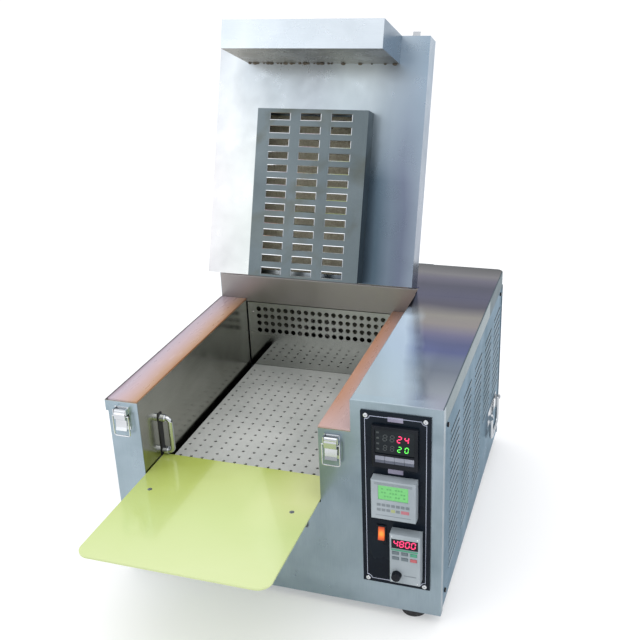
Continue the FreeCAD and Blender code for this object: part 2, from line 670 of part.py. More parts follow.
def tray_brackets():
    """Two gusseted angles on the cabinet front that hold the shelf."""
    made = []
    under = TRAY_TOP - TRAY_THICK
    for x, y in TRAY_SCREWS:
        width = centred(x, BRACKET_HALF)
        arm = block(width, (FRONT - BRACKET_ARM, FRONT), (under - 3, under))
        leg = block(width, (FRONT - 3, FRONT), (under - BRACKET_LEG, under))
        web = [(FRONT - 1, under - BRACKET_LEG + 2), (FRONT - 1, under - 1),
               (FRONT - BRACKET_ARM + 4, under - 1)]
        gusset = sheet("yz", x - 1.5, 3.0, web)
        made.append(joined(arm, leg, gusset).cut(rod((x, y, under - 15), (0, 0, 1), SCREW_R, 20.0)))
    return group(made)


# ---- control panel --------------------------------------------------------------------------
def control_panel():
    cuts = [
        (centred(PANEL_X, 34.0), centred(METER_Z, 34.0)),
        (centred(PANEL_X, 33.0), centred(RELAY_Z, 32.0)),
        (centred(SWITCH_X, 6.5), centred(SWITCH_Z, 14.0)),
        (centred(KEYPAD_X, 21.0), centred(KEYPAD_Z, 42.0)),
    ]
    outline = rectangle(centred(PANEL_X, PANEL_W / 2), centred(PANEL_Z, PANEL_H / 2))
    return sheet("xz", PANEL_FACE, PANEL_T, outline, cuts, [(x, z, SCREW_R) for x, z in PANEL_SCREWS])


def temperature_controller():
    """A 72 mm panel meter: bezel with a recessed face, a key strip and its case behind the panel."""
    bezel = block(centred(PANEL_X, METER_SIZE / 2), (PANEL_FACE - METER_PROUD, PANEL_FACE),
                  centred(METER_Z, METER_SIZE / 2))
    bezel = rounded(bezel, 2.0, lambda c, d: near(c.y, PANEL_FACE - METER_PROUD))
    recess = block(centred(PANEL_X, 31.0), (PANEL_FACE - METER_PROUD - 1, PANEL_FACE - METER_PROUD + 2),
                   (METER_Z - 11, METER_Z + 31))
    strip = block(centred(PANEL_X, 31.0), (PANEL_FACE - METER_PROUD - 1, PANEL_FACE - METER_PROUD + 1),
                  (METER_Z - 27, METER_Z - 14))
    case = block(centred(PANEL_X, 33.5), (PANEL_FACE, PANEL_FACE + 80), centred(METER_Z, 33.5))
    return joined(bezel.cut(recess).cut(strip), case)


def timer_relay():
    """A smart relay with a sloping-shouldered cap, a display recess and a keypad field."""
    face = PANEL_FACE - RELAY_PROUD
    cap = block(centred(PANEL_X, 35.5), (face, PANEL_FACE), centred(RELAY_Z, 35.0))
    cap = rounded(cap, 2.0, lambda c, d: near(c.y, face))
    recess = block(centred(PANEL_X, 24.0), (face - 1, face + 1.5), (RELAY_Z + 1, RELAY_Z + 27))
    case = block(centred(PANEL_X, 32.5), (PANEL_FACE, PANEL_FACE + 50), centred(RELAY_Z, 31.5))
    return joined(cap.cut(recess), case)


SWITCH_PIVOT_Y = PANEL_FACE + 2.0


def power_switch():
    """The frame of the illuminated rocker, open at the front, with its contact case behind."""
    frame = block(centred(SWITCH_X, 7.5), (PANEL_FACE - 2, PANEL_FACE), centred(SWITCH_Z, 16.0))
    case = block(centred(SWITCH_X, 6.4), (PANEL_FACE, PANEL_FACE + 22), centred(SWITCH_Z, 13.9))
    well = block(centred(SWITCH_X, 5.4), (PANEL_FACE - 3, PANEL_FACE + 12), centred(SWITCH_Z, 13.0))
    pivot = rod((SWITCH_X - 8, SWITCH_PIVOT_Y, SWITCH_Z), (1, 0, 0), TRUNNION_R + FIT, 16.0)
    return joined(frame, case).cut(well).cut(pivot)


ROCK_DEG = 9.0
TRUNNION_R = 1.0


def power_rocker():
    """The lit rocker: two shallow facets that meet at its trunnions, pressed in at its upper end."""
    tip = 11.8
    front = PANEL_FACE - 3.6
    back = SWITCH_PIVOT_Y + 3.0
    profile = [(back, -5.0), (back, 5.0), (PANEL_FACE + 1.0, tip), (front, tip), (front + 1.6, 0.0),
               (front, -tip), (PANEL_FACE + 1.0, -tip)]
    body = sheet("yz", SWITCH_X - 5.0, 10.0, [(y, SWITCH_Z + z) for y, z in profile])
    body = rounded(body, 0.8, lambda c, d: near(c.y, front) and along(d, V(1, 0, 0)))
    body = joined(body, rod((SWITCH_X - 6.2, SWITCH_PIVOT_Y, SWITCH_Z), (1, 0, 0), TRUNNION_R, 12.4))
    body.rotate(V(SWITCH_X, SWITCH_PIVOT_Y, SWITCH_Z), V(1, 0, 0), -ROCK_DEG)
    return body


KEY_COLUMNS = (KEYPAD_X - 14.5, KEYPAD_X, KEYPAD_X + 14.5)
KEY_ROWS = (146.5, 136.5)
KEY_W = 10.5
KEY_H = 5.4
KEY_GAP = 0.35
KEY_TRAVEL = 1.2
KEY_PROUD = 1.3
KEY_BACK = 2.4                # how deep a key sits below the face
KEY_NAMES = (("mode_key", "left_shift_key", "run_key"), ("enter_key", "down_key", "stop_key"))


def inverter():
    """The speed inverter's keypad box, standing proud of the panel, with key wells and a display."""
    box = block(centred(KEYPAD_X, KEYPAD_W / 2), (KEYPAD_FACE, PANEL_FACE), centred(KEYPAD_Z, KEYPAD_H / 2))
    box = rounded(box, 2.5, lambda c, d: near(c.y, KEYPAD_FACE))
    case = block(centred(KEYPAD_X, 20.5), (PANEL_FACE, PANEL_FACE + 90), centred(KEYPAD_Z, 41.5))
    whole = joined(box, case)
    whole = whole.cut(block(centred(KEYPAD_X, 21.5), (KEYPAD_FACE - 1, KEYPAD_FACE + 1.2), (154.5, 172.5)))
    for x in KEY_COLUMNS:
        for z in KEY_ROWS:
            well = block(centred(x, KEY_W / 2 + KEY_GAP),
                         (KEYPAD_FACE - 1, KEYPAD_FACE + KEY_BACK + KEY_TRAVEL + 0.4),
                         centred(z, KEY_H / 2 + KEY_GAP))
            whole = whole.cut(well)
    return whole.cut(rod((KNOB_X, KEYPAD_FACE - 1, KNOB_Z), (0, 1, 0), SPINDLE_R + FIT, 9.0))


def key(x, z):
    """A rubber key, crowned, standing a little above the face in its well."""
    front = KEYPAD_FACE - KEY_PROUD
    cap = block(centred(x, KEY_W / 2), (front, KEYPAD_FACE + KEY_BACK), centred(z, KEY_H / 2))
    return rounded(cap, 0.9, lambda c, d: near(c.y, front))


def inverter_knob():
    """The speed potentiometer's knob: a fluted skirt with a pointer groove, on its spindle."""
    skirt = Part.makeCone(8.0, 7.0, 9.0, V(KNOB_X, KEYPAD_FACE - 0.5, KNOB_Z), V(0, -1, 0))
    spindle = rod((KNOB_X, KEYPAD_FACE - 0.5, KNOB_Z), (0, 1, 0), SPINDLE_R, 7.0)
    knob = joined(skirt, spindle)
    for k in range(12):
        angle = math.radians(30 * k + 15)
        flute = rod((KNOB_X + 8.6 * math.cos(angle), KEYPAD_FACE - 10, KNOB_Z + 8.6 * math.sin(angle)),
                    (0, 1, 0), 1.3, 8.0)
        knob = knob.cut(flute)
    pointer = block(centred(KNOB_X, 0.6), (KEYPAD_FACE - 10, KEYPAD_FACE - 8.9), (KNOB_Z + 1, KNOB_Z + 9))
    return knob.cut(pointer)


# ---- latches --------------------------------------------------------------------------------
LATCH_HALF = 13.0             # half the width of a base plate
CHEEK_THICK = 1.8
LEVER_HALF = 10.2
BARREL_R = 3.9
BAIL_HALF = 14.5
BAIL_LOW = 281.0              # height of the cross wire at rest
BAIL_CORNER = 4.0
KEEPER_HALF = 7.0
KEEPER_REACH = 9.0


def latch_bases():
    """Draw latch base plates: a plate on the wall with two cheeks that carry the lever's pin."""
    made = []
    for x in LATCH_X:
        plate = block(centred(x, LATCH_HALF), (FRONT - 1.5, FRONT), (290.0, 333.0))
        cheeks = [block(centred(x + side * 11.6, CHEEK_THICK / 2), (FRONT - 10.5, FRONT - 1), (320.5, 331.0))
                  for side in (-1, 1)]
        pin = rod((x - 12.5, LATCH_PIVOT_Y, LATCH_PIVOT_Z), (1, 0, 0), LATCH_PIN_R, 25.0)
        made.append(joined(plate, pin, *cheeks))
    return group(made)


def latch_lever(x):
    """The lever: a rolled barrel around the pin, a curved tongue below it, and the bail's seat."""
    barrel = tube((x - LEVER_HALF, LATCH_PIVOT_Y, LATCH_PIVOT_Z), (1, 0, 0),
                  BARREL_R, LATCH_PIN_R + FIT, 2 * LEVER_HALF)
    tongue = sheet("yz", x - LEVER_HALF, 2 * LEVER_HALF, [
        (LATCH_PIVOT_Y - 3.6, LATCH_PIVOT_Z - 1.5), (LATCH_PIVOT_Y - 2.2, LATCH_PIVOT_Z - 3.0),
        (BAIL_PIVOT_Y + 3.4, 316.0), (BAIL_PIVOT_Y + 1.6, 296.0), (BAIL_PIVOT_Y - 0.8, 291.0),
        (BAIL_PIVOT_Y - 2.2, 291.6), (BAIL_PIVOT_Y + 0.0, 297.0), (BAIL_PIVOT_Y + 1.2, 310.0),
        (BAIL_PIVOT_Y - 2.6, 313.0), (BAIL_PIVOT_Y - 2.9, 322.0)])
    body = joined(barrel, tongue)
    return body.cut(rod((x - 30, BAIL_PIVOT_Y, BAIL_PIVOT_Z), (1, 0, 0), BAIL_WIRE_R + FIT, 60.0))


def latch_bail(x):
    """The wire loop: its ends turn in through the lever, and its legs hang down to the cross wire."""
    ends = [(x + side * BAIL_HALF, BAIL_PIVOT_Y, BAIL_PIVOT_Z) for side in (-1, 1)]
    legs = u_bar(ends, (0, 0, BAIL_LOW - BAIL_PIVOT_Z), BAIL_WIRE_R, BAIL_CORNER)
    axle = rod(ends[0], (1, 0, 0), BAIL_WIRE_R, 2 * BAIL_HALF)
    knuckles = [Part.makeSphere(BAIL_WIRE_R, V(*end)) for end in ends]
    return joined(legs, axle, *knuckles)


def lid_keepers():
    """The hooks on the lid's front end that the bails catch."""
    made = []
    for x in LATCH_X:
        width = centred(x, KEEPER_HALF)
        tip = LID_FRONT - KEEPER_REACH
        plate = block(width, (LID_FRONT - 1.5, LID_FRONT), (347.0, 367.0))
        shelf = block(width, (tip, LID_FRONT), (350.3, 352.1))
        nose = block(width, (tip, tip + 1.6), (350.3, 356.5))
        made.append(joined(plate, shelf, nose))
    return group(made)


# ---- lid, drawn closed and then swung open --------------------------------------------------
def swung(shape):
    """Turn a piece of the closed lid to the open rest pose."""
    turned = shape.copy()
    turned.rotate(V(0, HINGE_Y, HINGE_Z), V(1, 0, 0), -LID_OPEN_DEG)
    return turned


def lid_outer_pan():
    """The lid's outer shell: a shallow pan, open towards the chamber, with rounded folds."""
    solid = block((LID_LEFT, LID_RIGHT), (LID_FRONT, LID_REAR), (LID_BOTTOM, TOP))
    solid = rounded(solid, BEND, lambda c, d: near(c.z, TOP))
    hollow = block((LID_LEFT + SKIN, LID_RIGHT - SKIN), (LID_FRONT + SKIN, LID_REAR - SKIN),
                   (LID_BOTTOM - 1, TOP - BEND))
    upper = block((LID_LEFT + BEND, LID_RIGHT - BEND), (LID_FRONT + BEND, LID_REAR - BEND),
                  (TOP - BEND - 1, TOP - SKIN))
    return solid.cut(hollow).cut(upper)


LID_PANEL = 1.2


def lid_inner_panel():
    """The lid's inner sheet, cut out behind the duct box."""
    outline = rectangle((LID_LEFT + SKIN, LID_RIGHT - SKIN), (LID_FRONT + SKIN, LID_REAR - SKIN))
    window = [((DUCT_LEFT + 8, DUCT_RIGHT - 8), (DUCT_FRONT + 8, DUCT_REAR - 12))]
    return sheet("xy", LID_BOTTOM, LID_PANEL, outline, window)


def lid_front_box():
    """The hollow box that closes the chamber's front opening when the lid is down."""
    outer = block((BOX_LEFT, BOX_RIGHT), (LID_FRONT, LID_FRONT + BOX_DEPTH), (BOX_BOTTOM, LID_BOTTOM))
    inner = block((BOX_LEFT + LID_PANEL, BOX_RIGHT - LID_PANEL),
                  (LID_FRONT + LID_PANEL, LID_FRONT + BOX_DEPTH - LID_PANEL),
                  (BOX_BOTTOM + LID_PANEL, LID_BOTTOM + 1))
    return outer.cut(inner)


SLOT_COLUMNS = 3
SLOT_ROWS = 13
SLOT_LONG = 40.0
SLOT_HIGH = 12.0
SLOT_STEP_X = 62.0
SLOT_STEP_Y = 24.8


def duct_slots():
    """Where the duct box's slots lie, as X and Y ranges."""
    first_x = DUCT_LEFT + 27.0
    first_y = DUCT_FRONT + 9.0
    places = []
    for column in range(SLOT_COLUMNS):
        x = first_x + column * SLOT_STEP_X
        for row in range(SLOT_ROWS):
            y = first_y + row * SLOT_STEP_Y
            places.append(((x, x + SLOT_LONG), (y, y + SLOT_HIGH)))
    return places


def lid_duct_box():
    """The slotted hot-air duct on the lid's inner face."""
    low = LID_BOTTOM - DUCT_DROP
    outer = block((DUCT_LEFT, DUCT_RIGHT), (DUCT_FRONT, DUCT_REAR), (low, LID_BOTTOM))
    inner = block((DUCT_LEFT + LID_PANEL, DUCT_RIGHT - LID_PANEL),
                  (DUCT_FRONT + LID_PANEL, DUCT_REAR - LID_PANEL), (low - 1, LID_BOTTOM + 1))
    face = sheet("xy", low, LID_PANEL,
                 rectangle((DUCT_LEFT + LID_PANEL, DUCT_RIGHT - LID_PANEL),
                           (DUCT_FRONT + LID_PANEL, DUCT_REAR - LID_PANEL)), duct_slots())
    return joined(outer.cut(inner), face)


def lid_insulation():
    """Mineral wool between the lid's two sheets, above the heater space."""
    return block((LID_LEFT + 4, LID_RIGHT - 4), (LID_FRONT + 6, LID_REAR - 6), (TOP - 30, TOP - 6))


LID_HEATERS = ((-141.5, 61.0), (-16.2, 66.5))     # middle and width, so the legs lie behind the webs


def lid_heaters():
    """Two tubular hairpins in the duct box, their legs behind the webs between the slots."""
    return group([hairpin(x, (DUCT_FRONT + 20, DUCT_REAR - 20), LID_BOTTOM - 14, width, HEATER_R)
                  for x, width in LID_HEATERS])


KNUCKLE = 30.0
KNUCKLE_R = 3.0
PIN_R = 1.4
HINGE_LEFT = -270.0
KNUCKLES = 13
LEAF = 1.0
LEAF_WIDTH = 24.0


def hinge_leaf(side, first):
    """Half of the piano hinge: a leaf on the sheet and every second knuckle around the pin."""
    right = HINGE_LEFT + KNUCKLE * KNUCKLES
    inner = HINGE_Y + side * (KNUCKLE_R + 0.5)
    outer = HINGE_Y + side * (KNUCKLE_R + LEAF_WIDTH)
    leaf = block((HINGE_LEFT, right), (min(inner, outer), max(inner, outer)), (TOP, TOP + LEAF))
    parts = [leaf]
    for k in range(first, KNUCKLES, 2):
        x = HINGE_LEFT + k * KNUCKLE + 0.3
        barrel = rod((x, HINGE_Y, HINGE_Z), (1, 0, 0), KNUCKLE_R, KNUCKLE - 0.6)
        web = block((x, x + KNUCKLE - 0.6), (min(HINGE_Y, inner + side), max(HINGE_Y, inner + side)),
                    (TOP, TOP + LEAF))
        parts += [barrel, web]
    half = joined(*parts)
    return half.cut(rod((HINGE_LEFT - 1, HINGE_Y, HINGE_Z), (1, 0, 0), PIN_R + FIT, KNUCKLE * KNUCKLES + 2))


def hinge_pin():
    return rod((HINGE_LEFT, HINGE_Y, HINGE_Z), (1, 0, 0), PIN_R, KNUCKLE * KNUCKLES)


STOP_X = (-235.0, 90.0)


def lid_stops():
    """Two posts on the rear deck whose rubber-faced tops meet the open lid's back."""
    made = []
    slope = math.radians(LID_OPEN_DEG - 90)
    for x in STOP_X:
        base = block(centred(x, 12.0), (304.0, 342.0), (TOP, TOP + 2.5))
        face_y = HINGE_Y + math.tan(slope) * 40 + 4.6
        post = sheet("yz", x - 6.0, 12.0, [
            (face_y + math.tan(slope) * -28, TOP + 2), (336.0, TOP + 2), (face_y + 18, TOP + 48),
            (face_y + math.tan(slope) * 16, TOP + 48)])
        made.append(joined(base, post))
    return group(made)


# ---- carrying handles -----------------------------------------------------------------------
GRIP_HALF = 44.0
GRIP_DROP = 52.0
GRIP_BAR_R = 3.6
GRIP_PIN_R = 2.5
LUG_R = 5.0


def side_handle_plate(side):
    """The plate on the cabinet's side with the two lugs that hold the grip."""
    wall = side * (RIGHT - INSET if side > 0 else RIGHT)
    plate_x = sorted((wall, wall + side * 2.0))
    plate = block(plate_x, centred(GRIP_Y, 52.0), (GRIP_Z - 22, GRIP_Z + 12))
    lugs = []
    for end in (-1, 1):
        y = GRIP_Y + end * (GRIP_HALF + 4.5)
        lug_x = sorted((wall, side * GRIP_X))
        lugs.append(block(lug_x, centred(y, 2.0), centred(GRIP_Z, LUG_R)))
        lugs.append(rod((side * GRIP_X, y - 2.0, GRIP_Z), (0, 1, 0), LUG_R, 4.0))
    whole = joined(plate, *lugs)
    bore = rod((side * GRIP_X, GRIP_Y - 60, GRIP_Z), (0, 1, 0), GRIP_PIN_R + FIT, 120.0)
    return whole.cut(bore)


def side_grip(side):
    """The folding grip: a bar bent to a U whose ends turn out into the lugs."""
    x = side * GRIP_X
    half = GRIP_HALF - 4.0
    ends = [(x, GRIP_Y - half, GRIP_Z), (x, GRIP_Y + half, GRIP_Z)]
    bar = u_bar(ends, (0, 0, -GRIP_DROP), GRIP_BAR_R, 10.0)
    parts = [bar]
    for end in (-1, 1):
        y = GRIP_Y + end * half
        parts.append(Part.makeSphere(GRIP_BAR_R, V(x, y, GRIP_Z)))
        parts.append(rod((x, y, GRIP_Z), (0, end, 0), GRIP_PIN_R, GRIP_HALF + 6.5 - half))
    return joined(*parts)


# ---- assembly -------------------------------------------------------------------------------
def assemble():
    pieces["base_pan"] = base_pan()
    pieces["front_panel"] = front_panel()
    pieces["left_side_panel"] = left_side_panel()
    pieces["right_side_panel"] = right_side_panel()
    pieces["top_cover"] = top_cover()
    pieces["rear_deck"] = rear_deck()
    pieces["rear_panel"] = rear_panel()
    pieces["rear_bumpers"] = rear_bumpers()
    pieces["feet"] = feet()
    pieces["machine_screws"] = all_screws()
    pieces["left_liner"] = liner(CHAMBER_LEFT, LEFT - CAP_PROUD, True)
    pieces["right_liner"] = liner(CHAMBER_RIGHT, STEP_X, False)
    pieces["left_gasket"] = gasket((LEFT - 2.0, CHAMBER_LEFT))
    pieces["right_gasket"] = gasket((CHAMBER_RIGHT, STEP_X - 0.5))
    pieces["chamber_floor"] = chamber_floor()
    pieces["wall_insulation"] = wall_insulation()
    pieces["perforated_plate"] = perforated_plate()
    pieces["rear_baffle"] = rear_baffle()
    pieces["chamber_handle"] = chamber_handle()
    pieces["handle_backing"] = handle_backing()
    pieces["heater_elements"] = heater_elements()
    pieces["blower_scroll"] = blower_scroll()
    pieces["blower_wheel"] = blower_wheel()
    pieces["blower_shaft"] = blower_shaft()
    pieces["blower_motor"] = blower_motor()
    pieces["solid_state_relay"] = solid_state_relay()
    pieces["loading_tray"] = loading_tray()
    pieces["tray_brackets"] = tray_brackets()
    pieces["control_panel"] = control_panel()
    pieces["temperature_controller"] = temperature_controller()
    pieces["timer_relay"] = timer_relay()
    pieces["power_switch"] = power_switch()
    pieces["power_rocker"] = power_rocker()
    pieces["power_inlet"] = power_inlet()
    pieces["inverter"] = inverter()
    pieces["inverter_knob"] = inverter_knob()
    for row, names in enumerate(KEY_NAMES):
        for column, name in enumerate(names):
            pieces[name] = key(KEY_COLUMNS[column], KEY_ROWS[row])
    pieces["latch_bases"] = latch_bases()
    for x, side in zip(LATCH_X, ("left", "right")):
        pieces[side + "_latch_lever"] = latch_lever(x)
        pieces[side + "_latch_bail"] = latch_bail(x)
    pieces["lid_keepers"] = swung(lid_keepers())
    pieces["lid_outer_pan"] = swung(lid_outer_pan())
    pieces["lid_inner_panel"] = swung(lid_inner_panel())
    pieces["lid_front_box"] = swung(lid_front_box())
    pieces["lid_duct_box"] = swung(lid_duct_box())
    pieces["lid_insulation"] = swung(lid_insulation())
    pieces["lid_heaters"] = swung(lid_heaters())
    pieces["lid_hinge_leaf"] = swung(hinge_leaf(-1, 1))
    pieces["cabinet_hinge_leaf"] = group([hinge_leaf(1, 0), hinge_pin()])
    pieces["lid_stops"] = lid_stops()
    pieces["side_handle_plates"] = group([side_handle_plate(-1), side_handle_plate(1)])
    pieces["left_side_grip"] = side_grip(-1)
    pieces["right_side_grip"] = side_grip(1)


assemble()
os.makedirs("parts", exist_ok=True)
for name, shape in pieces.items():
    shape.exportStep(os.path.join("parts", name + ".step"))
    if not shape.isValid() or any(not solid.isClosed() for solid in shape.Solids):
        print("CHECK", name)
box = Part.makeCompound(list(pieces.values())).BoundBox
sides = (box.XMin, box.XMax, box.YMin, box.YMax, box.ZMin, box.ZMax)
print(len(pieces), "pieces", [round(side, 2) for side in sides])
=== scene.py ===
import json
import math

import bmesh
import bpy
from mathutils import Matrix, Vector


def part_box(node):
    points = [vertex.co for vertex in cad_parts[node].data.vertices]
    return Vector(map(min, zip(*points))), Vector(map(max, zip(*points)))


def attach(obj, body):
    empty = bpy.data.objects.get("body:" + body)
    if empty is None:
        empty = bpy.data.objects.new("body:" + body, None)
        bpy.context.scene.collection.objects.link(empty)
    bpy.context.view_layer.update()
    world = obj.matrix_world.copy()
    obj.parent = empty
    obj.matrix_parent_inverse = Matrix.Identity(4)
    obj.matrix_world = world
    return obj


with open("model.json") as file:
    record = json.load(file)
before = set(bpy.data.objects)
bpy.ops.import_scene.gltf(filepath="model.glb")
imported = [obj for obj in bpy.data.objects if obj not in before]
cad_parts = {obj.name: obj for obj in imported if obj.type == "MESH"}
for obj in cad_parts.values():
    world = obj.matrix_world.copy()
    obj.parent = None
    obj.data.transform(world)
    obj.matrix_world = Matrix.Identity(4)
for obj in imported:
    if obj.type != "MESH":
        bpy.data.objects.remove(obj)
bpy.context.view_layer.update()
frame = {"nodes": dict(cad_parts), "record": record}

# ---- sizes, in metres -----------------------------------------------------------------------
MM = 0.001
SINK = 0.3 * MM               # how far an applied piece reaches into what it sits on
KEY_CORNER = 0.6 * MM
KEY_CHAMFER = 0.25 * MM
DIGIT_RISE = 0.25 * MM        # how far a digit stands out of its window
DIGIT_SLANT = 0.12

LID_OPEN_DEG = 109.0
HINGE = Vector((0.0, 0.276, 0.3995))
DUCT_FACE_Z = 306.5 * MM      # the duct box and its slots, with the lid closed
SLOT_COLUMNS = 3
SLOT_ROWS = 13
SLOT_FIRST = (-155.4 * MM, -41.0 * MM)
SLOT_PITCH = (62.0 * MM, 24.8 * MM)
SLOT_SIZE = (40.0 * MM, 12.0 * MM)
SLOT_RIM = 1.3 * MM
BOX_REAR_Y = -143.0 * MM      # where the front box meets the inner sheet, with the lid closed
INNER_SHEET_Z = 344.5 * MM

LOUVRE_COLUMNS = 5
LOUVRE_ROWS = 18
LOUVRE_FIRST_Y = -132.0 * MM
LOUVRE_TOP_Z = 325.0 * MM
LOUVRE_PITCH_Y = 113.5 * MM
LOUVRE_PITCH_Z = 15.0 * MM
LOUVRE_LENGTH = 75.0 * MM
GRIP_Y = 320.0 * MM           # no louvres are cut behind the carrying grip
GRIP_CLEAR_Y = 90.0 * MM
GRIP_CLEAR_Z = (62.0 * MM, 152.0 * MM)

# ---- where a finish, painted light or painted shade changes, from and to, in metres ---------
LEFT_SEAL_X = (-0.287, -0.229)
LEFT_SEAL_RIM_X = (-0.2826, -0.2840)
SEAL_EDGE_LINE_X = (-0.2864, -0.2872)
RIGHT_SEAL_X = (0.087, 0.140)
SHELF_X = (-0.227, 0.085)
SHELF_Y = (-0.43, -0.13)
LID_X = (-0.285, 0.138)
LID_Z = (0.60, 0.80)
BOX_X = (-0.222, 0.085)
FRONT_Z = (0.0, 0.4)
TOP_Y = (-0.20, 0.42)
DECK_TOP_Z = (0.3965, 0.3975)
LIP_SHADOW_Z = (0.357, 0.362)
BAFFLE_DULL_Z = (0.240, 0.272)
SIDE_SCREW_X = (0.280, 0.281)


# ---- material graphs ------------------------------------------------------------------------
def set_stops(ramp, stops):
    """A colour ramp's stops, each a position and a colour."""
    while len(ramp.elements) < len(stops):
        ramp.elements.new(0.5)
    for element, (position, colour) in zip(ramp.elements, stops):
        element.position = position
        element.color = (*colour, 1.0)


class Graph:
    """One material's node graph, with short calls for the few nodes it needs."""

    def __init__(self, name, roughness=0.5, metallic=0.0, **sockets):
        self.material = bpy.data.materials.new(name)
        self.material.use_nodes = True
        self.tree = self.material.node_tree
        self.shader = self.tree.nodes["Principled BSDF"]
        self.set("Roughness", roughness)
        self.set("Metallic", metallic)
        for socket, value in sockets.items():
            self.set(socket.replace("_", " "), value)
        coordinates = self.node("ShaderNodeTexCoord")
        self.place = coordinates.outputs["Object"]
        self.normal = coordinates.outputs["Normal"]

    def set(self, socket, value):
        """A constant is set on the shader's socket, and a node's output is linked to it."""
        if isinstance(value, bpy.types.NodeSocket):
            self.tree.links.new(value, self.shader.inputs[socket])
        else:
            self.shader.inputs[socket].default_value = value

    def node(self, kind, inputs=None, **settings):
        made = self.tree.nodes.new(kind)
        for key, value in settings.items():
            setattr(made, key, value)
        for key, value in (inputs or {}).items():
            if isinstance(value, bpy.types.NodeSocket):
                self.tree.links.new(value, made.inputs[key])
            else:
                made.inputs[key].default_value = value
        return made

    def stretched(self, stretch):
        scaled = self.node("ShaderNodeMapping", {"Vector": self.place, "Scale": stretch})
        return scaled.outputs["Vector"]

    def noise(self, scale, stretch=(1, 1, 1), detail=3.0, roughness=0.5, distortion=0.0):
        made = self.node("ShaderNodeTexNoise", {
            "Vector": self.stretched(stretch), "Scale": scale, "Detail": detail,
            "Roughness": roughness, "Distortion": distortion})
        return made.outputs["Fac"]

    def band(self, value, low, high, to_low=0.0, to_high=1.0):
        """A value's range carried over to another range."""
        made = self.node("ShaderNodeMapRange", {
            "Value": value, "From Min": low, "From Max": high, "To Min": to_low, "To Max": to_high})
        return made.outputs["Result"]

    def axis(self, letter):
        return self.node("ShaderNodeSeparateXYZ", {"Vector": self.place}).outputs[letter]

    def facing(self, letter, low=0.4, high=0.6):
        """1 where a face looks along an axis of the part, and 0 elsewhere; negative bounds look back."""
        part = self.node("ShaderNodeSeparateXYZ", {"Vector": self.normal}).outputs[letter]
        return self.band(part, low, high)

    def shade(self, factor, colour, darker):
        """The colour multiplied by a darker tone where the factor is 1."""
        return self.blend(factor, colour, darker, "MULTIPLY")

    def maths(self, operation, a, b):
        return self.node("ShaderNodeMath", {0: a, 1: b}, operation=operation).outputs[0]

    def plus(self, a, b):
        return self.maths("ADD", a, b)

    def times(self, a, b):
        return self.maths("MULTIPLY", a, b)

    def waver(self, value, wave, reach):
        """A value shifted to and fro by noise."""
        return self.plus(value, self.band(wave, 0.0, 1.0, -reach, reach))

    def ramp(self, value, stops):
        made = self.node("ShaderNodeValToRGB", {"Fac": value})
        set_stops(made.color_ramp, stops)
        return made.outputs["Color"]

    def blend(self, factor, a, b, how="MIX"):
        made = self.node("ShaderNodeMix", data_type="RGBA", blend_type=how)
        for index, value in ((0, factor), (6, a), (7, b)):
            if isinstance(value, bpy.types.NodeSocket):
                self.tree.links.new(value, made.inputs[index])
            elif index == 0:
                made.inputs[index].default_value = value
            else:
                made.inputs[index].default_value = (*value, 1.0)
        return made.outputs[2]

    def bump(self, height, strength, distance, over=None):
        """Relief on the shader's normal, laid over another relief where one is given."""
        inputs = {"Height": height, "Strength": strength, "Distance": distance}
        if over:
            inputs["Normal"] = over
        made = self.node("ShaderNodeBump", inputs)
        self.set("Normal", made.outputs["Normal"])
        return made.outputs["Normal"]


WHITE = (1.0, 1.0, 1.0)
# The darker tone given to lips that face along X: painted shade.
LIP_PAINTED_SHADE = (0.155, 0.185, 0.215)


def along(letter, across=1.0, lengthwise=0.02):
    """The stretch that draws noise out into lines along one axis."""
    return tuple(lengthwise if axis == letter else across for axis in "XYZ")


def steel(name, dark, light, roughness, grain="Z", clouds=7.0, line=0.06, tint=None, dull=None, sheen_painter=None,
          waves=0.0, edge=None):
    """Stainless sheet: rolled grain lines, soft clouds where it was handled, and fine scratches."""
    graph = Graph(name, metallic=1.0)
    cloud = graph.noise(clouds, detail=4.0, distortion=0.6)
    colour = graph.blend(graph.band(cloud, 0.3, 0.7), dark, light)
    lines = graph.noise(1500.0, along(grain), detail=2.0)
    rolled = graph.ramp(lines, [(0.3, (0.42, 0.42, 0.42)), (0.7, (0.58, 0.58, 0.58))])
    colour = graph.blend(0.5, colour, rolled, "SOFT_LIGHT")
    # A tint adds the part's own stains and marks, and on several parts painted light and shade.
    if tint:
        colour = tint(graph, colour)
    graph.set("Base Color", colour)
    smudge = graph.noise(22.0, detail=5.0, roughness=0.6)
    rough = graph.band(smudge, 0.3, 0.75, roughness[0], roughness[1])
    graph.set("Roughness", dull(graph, rough) if dull else rough)
    # Painted sheen: where the mask is 1 the steel is made less metallic, so it looks milky.
    if sheen_painter:
        graph.set("Metallic", graph.band(sheen_painter(graph), 0.0, 1.0, 1.0, 0.25))
    if edge:
        graph.set("Specular Tint", edge(graph))
    scratch = graph.noise(420.0, along(grain, lengthwise=0.006), detail=1.0)
    lie = graph.bump(graph.noise(6.0, detail=1.0), 1.0, waves) if waves else None
    graph.bump(graph.plus(lines, graph.band(scratch, 0.62, 0.68, 0.0, -0.6)), line, 0.2 * MM, lie)
    return graph.material


def painted_shade_fall(graph, colour):
    """Painted shade on the cabinet's sheets: a little darker at mid height and towards the right, as the
    light falls on them.
    """
    height_shade = graph.ramp(graph.band(graph.axis("Z"), *FRONT_Z), [
        (0.0, WHITE), (0.2, (0.92, 0.93, 0.93)), (0.4, (0.84, 0.85, 0.85)), (0.65, (0.80, 0.81, 0.82)),
        (0.85, (0.86, 0.87, 0.88)), (0.97, WHITE)])
    aside = graph.ramp(graph.band(graph.axis("X"), -0.22, 0.04), [(0.0, WHITE), (1.0, (0.80, 0.80, 0.81))])
    return graph.blend(1.0, graph.blend(1.0, colour, height_shade, "MULTIPLY"), aside, "MULTIPLY")


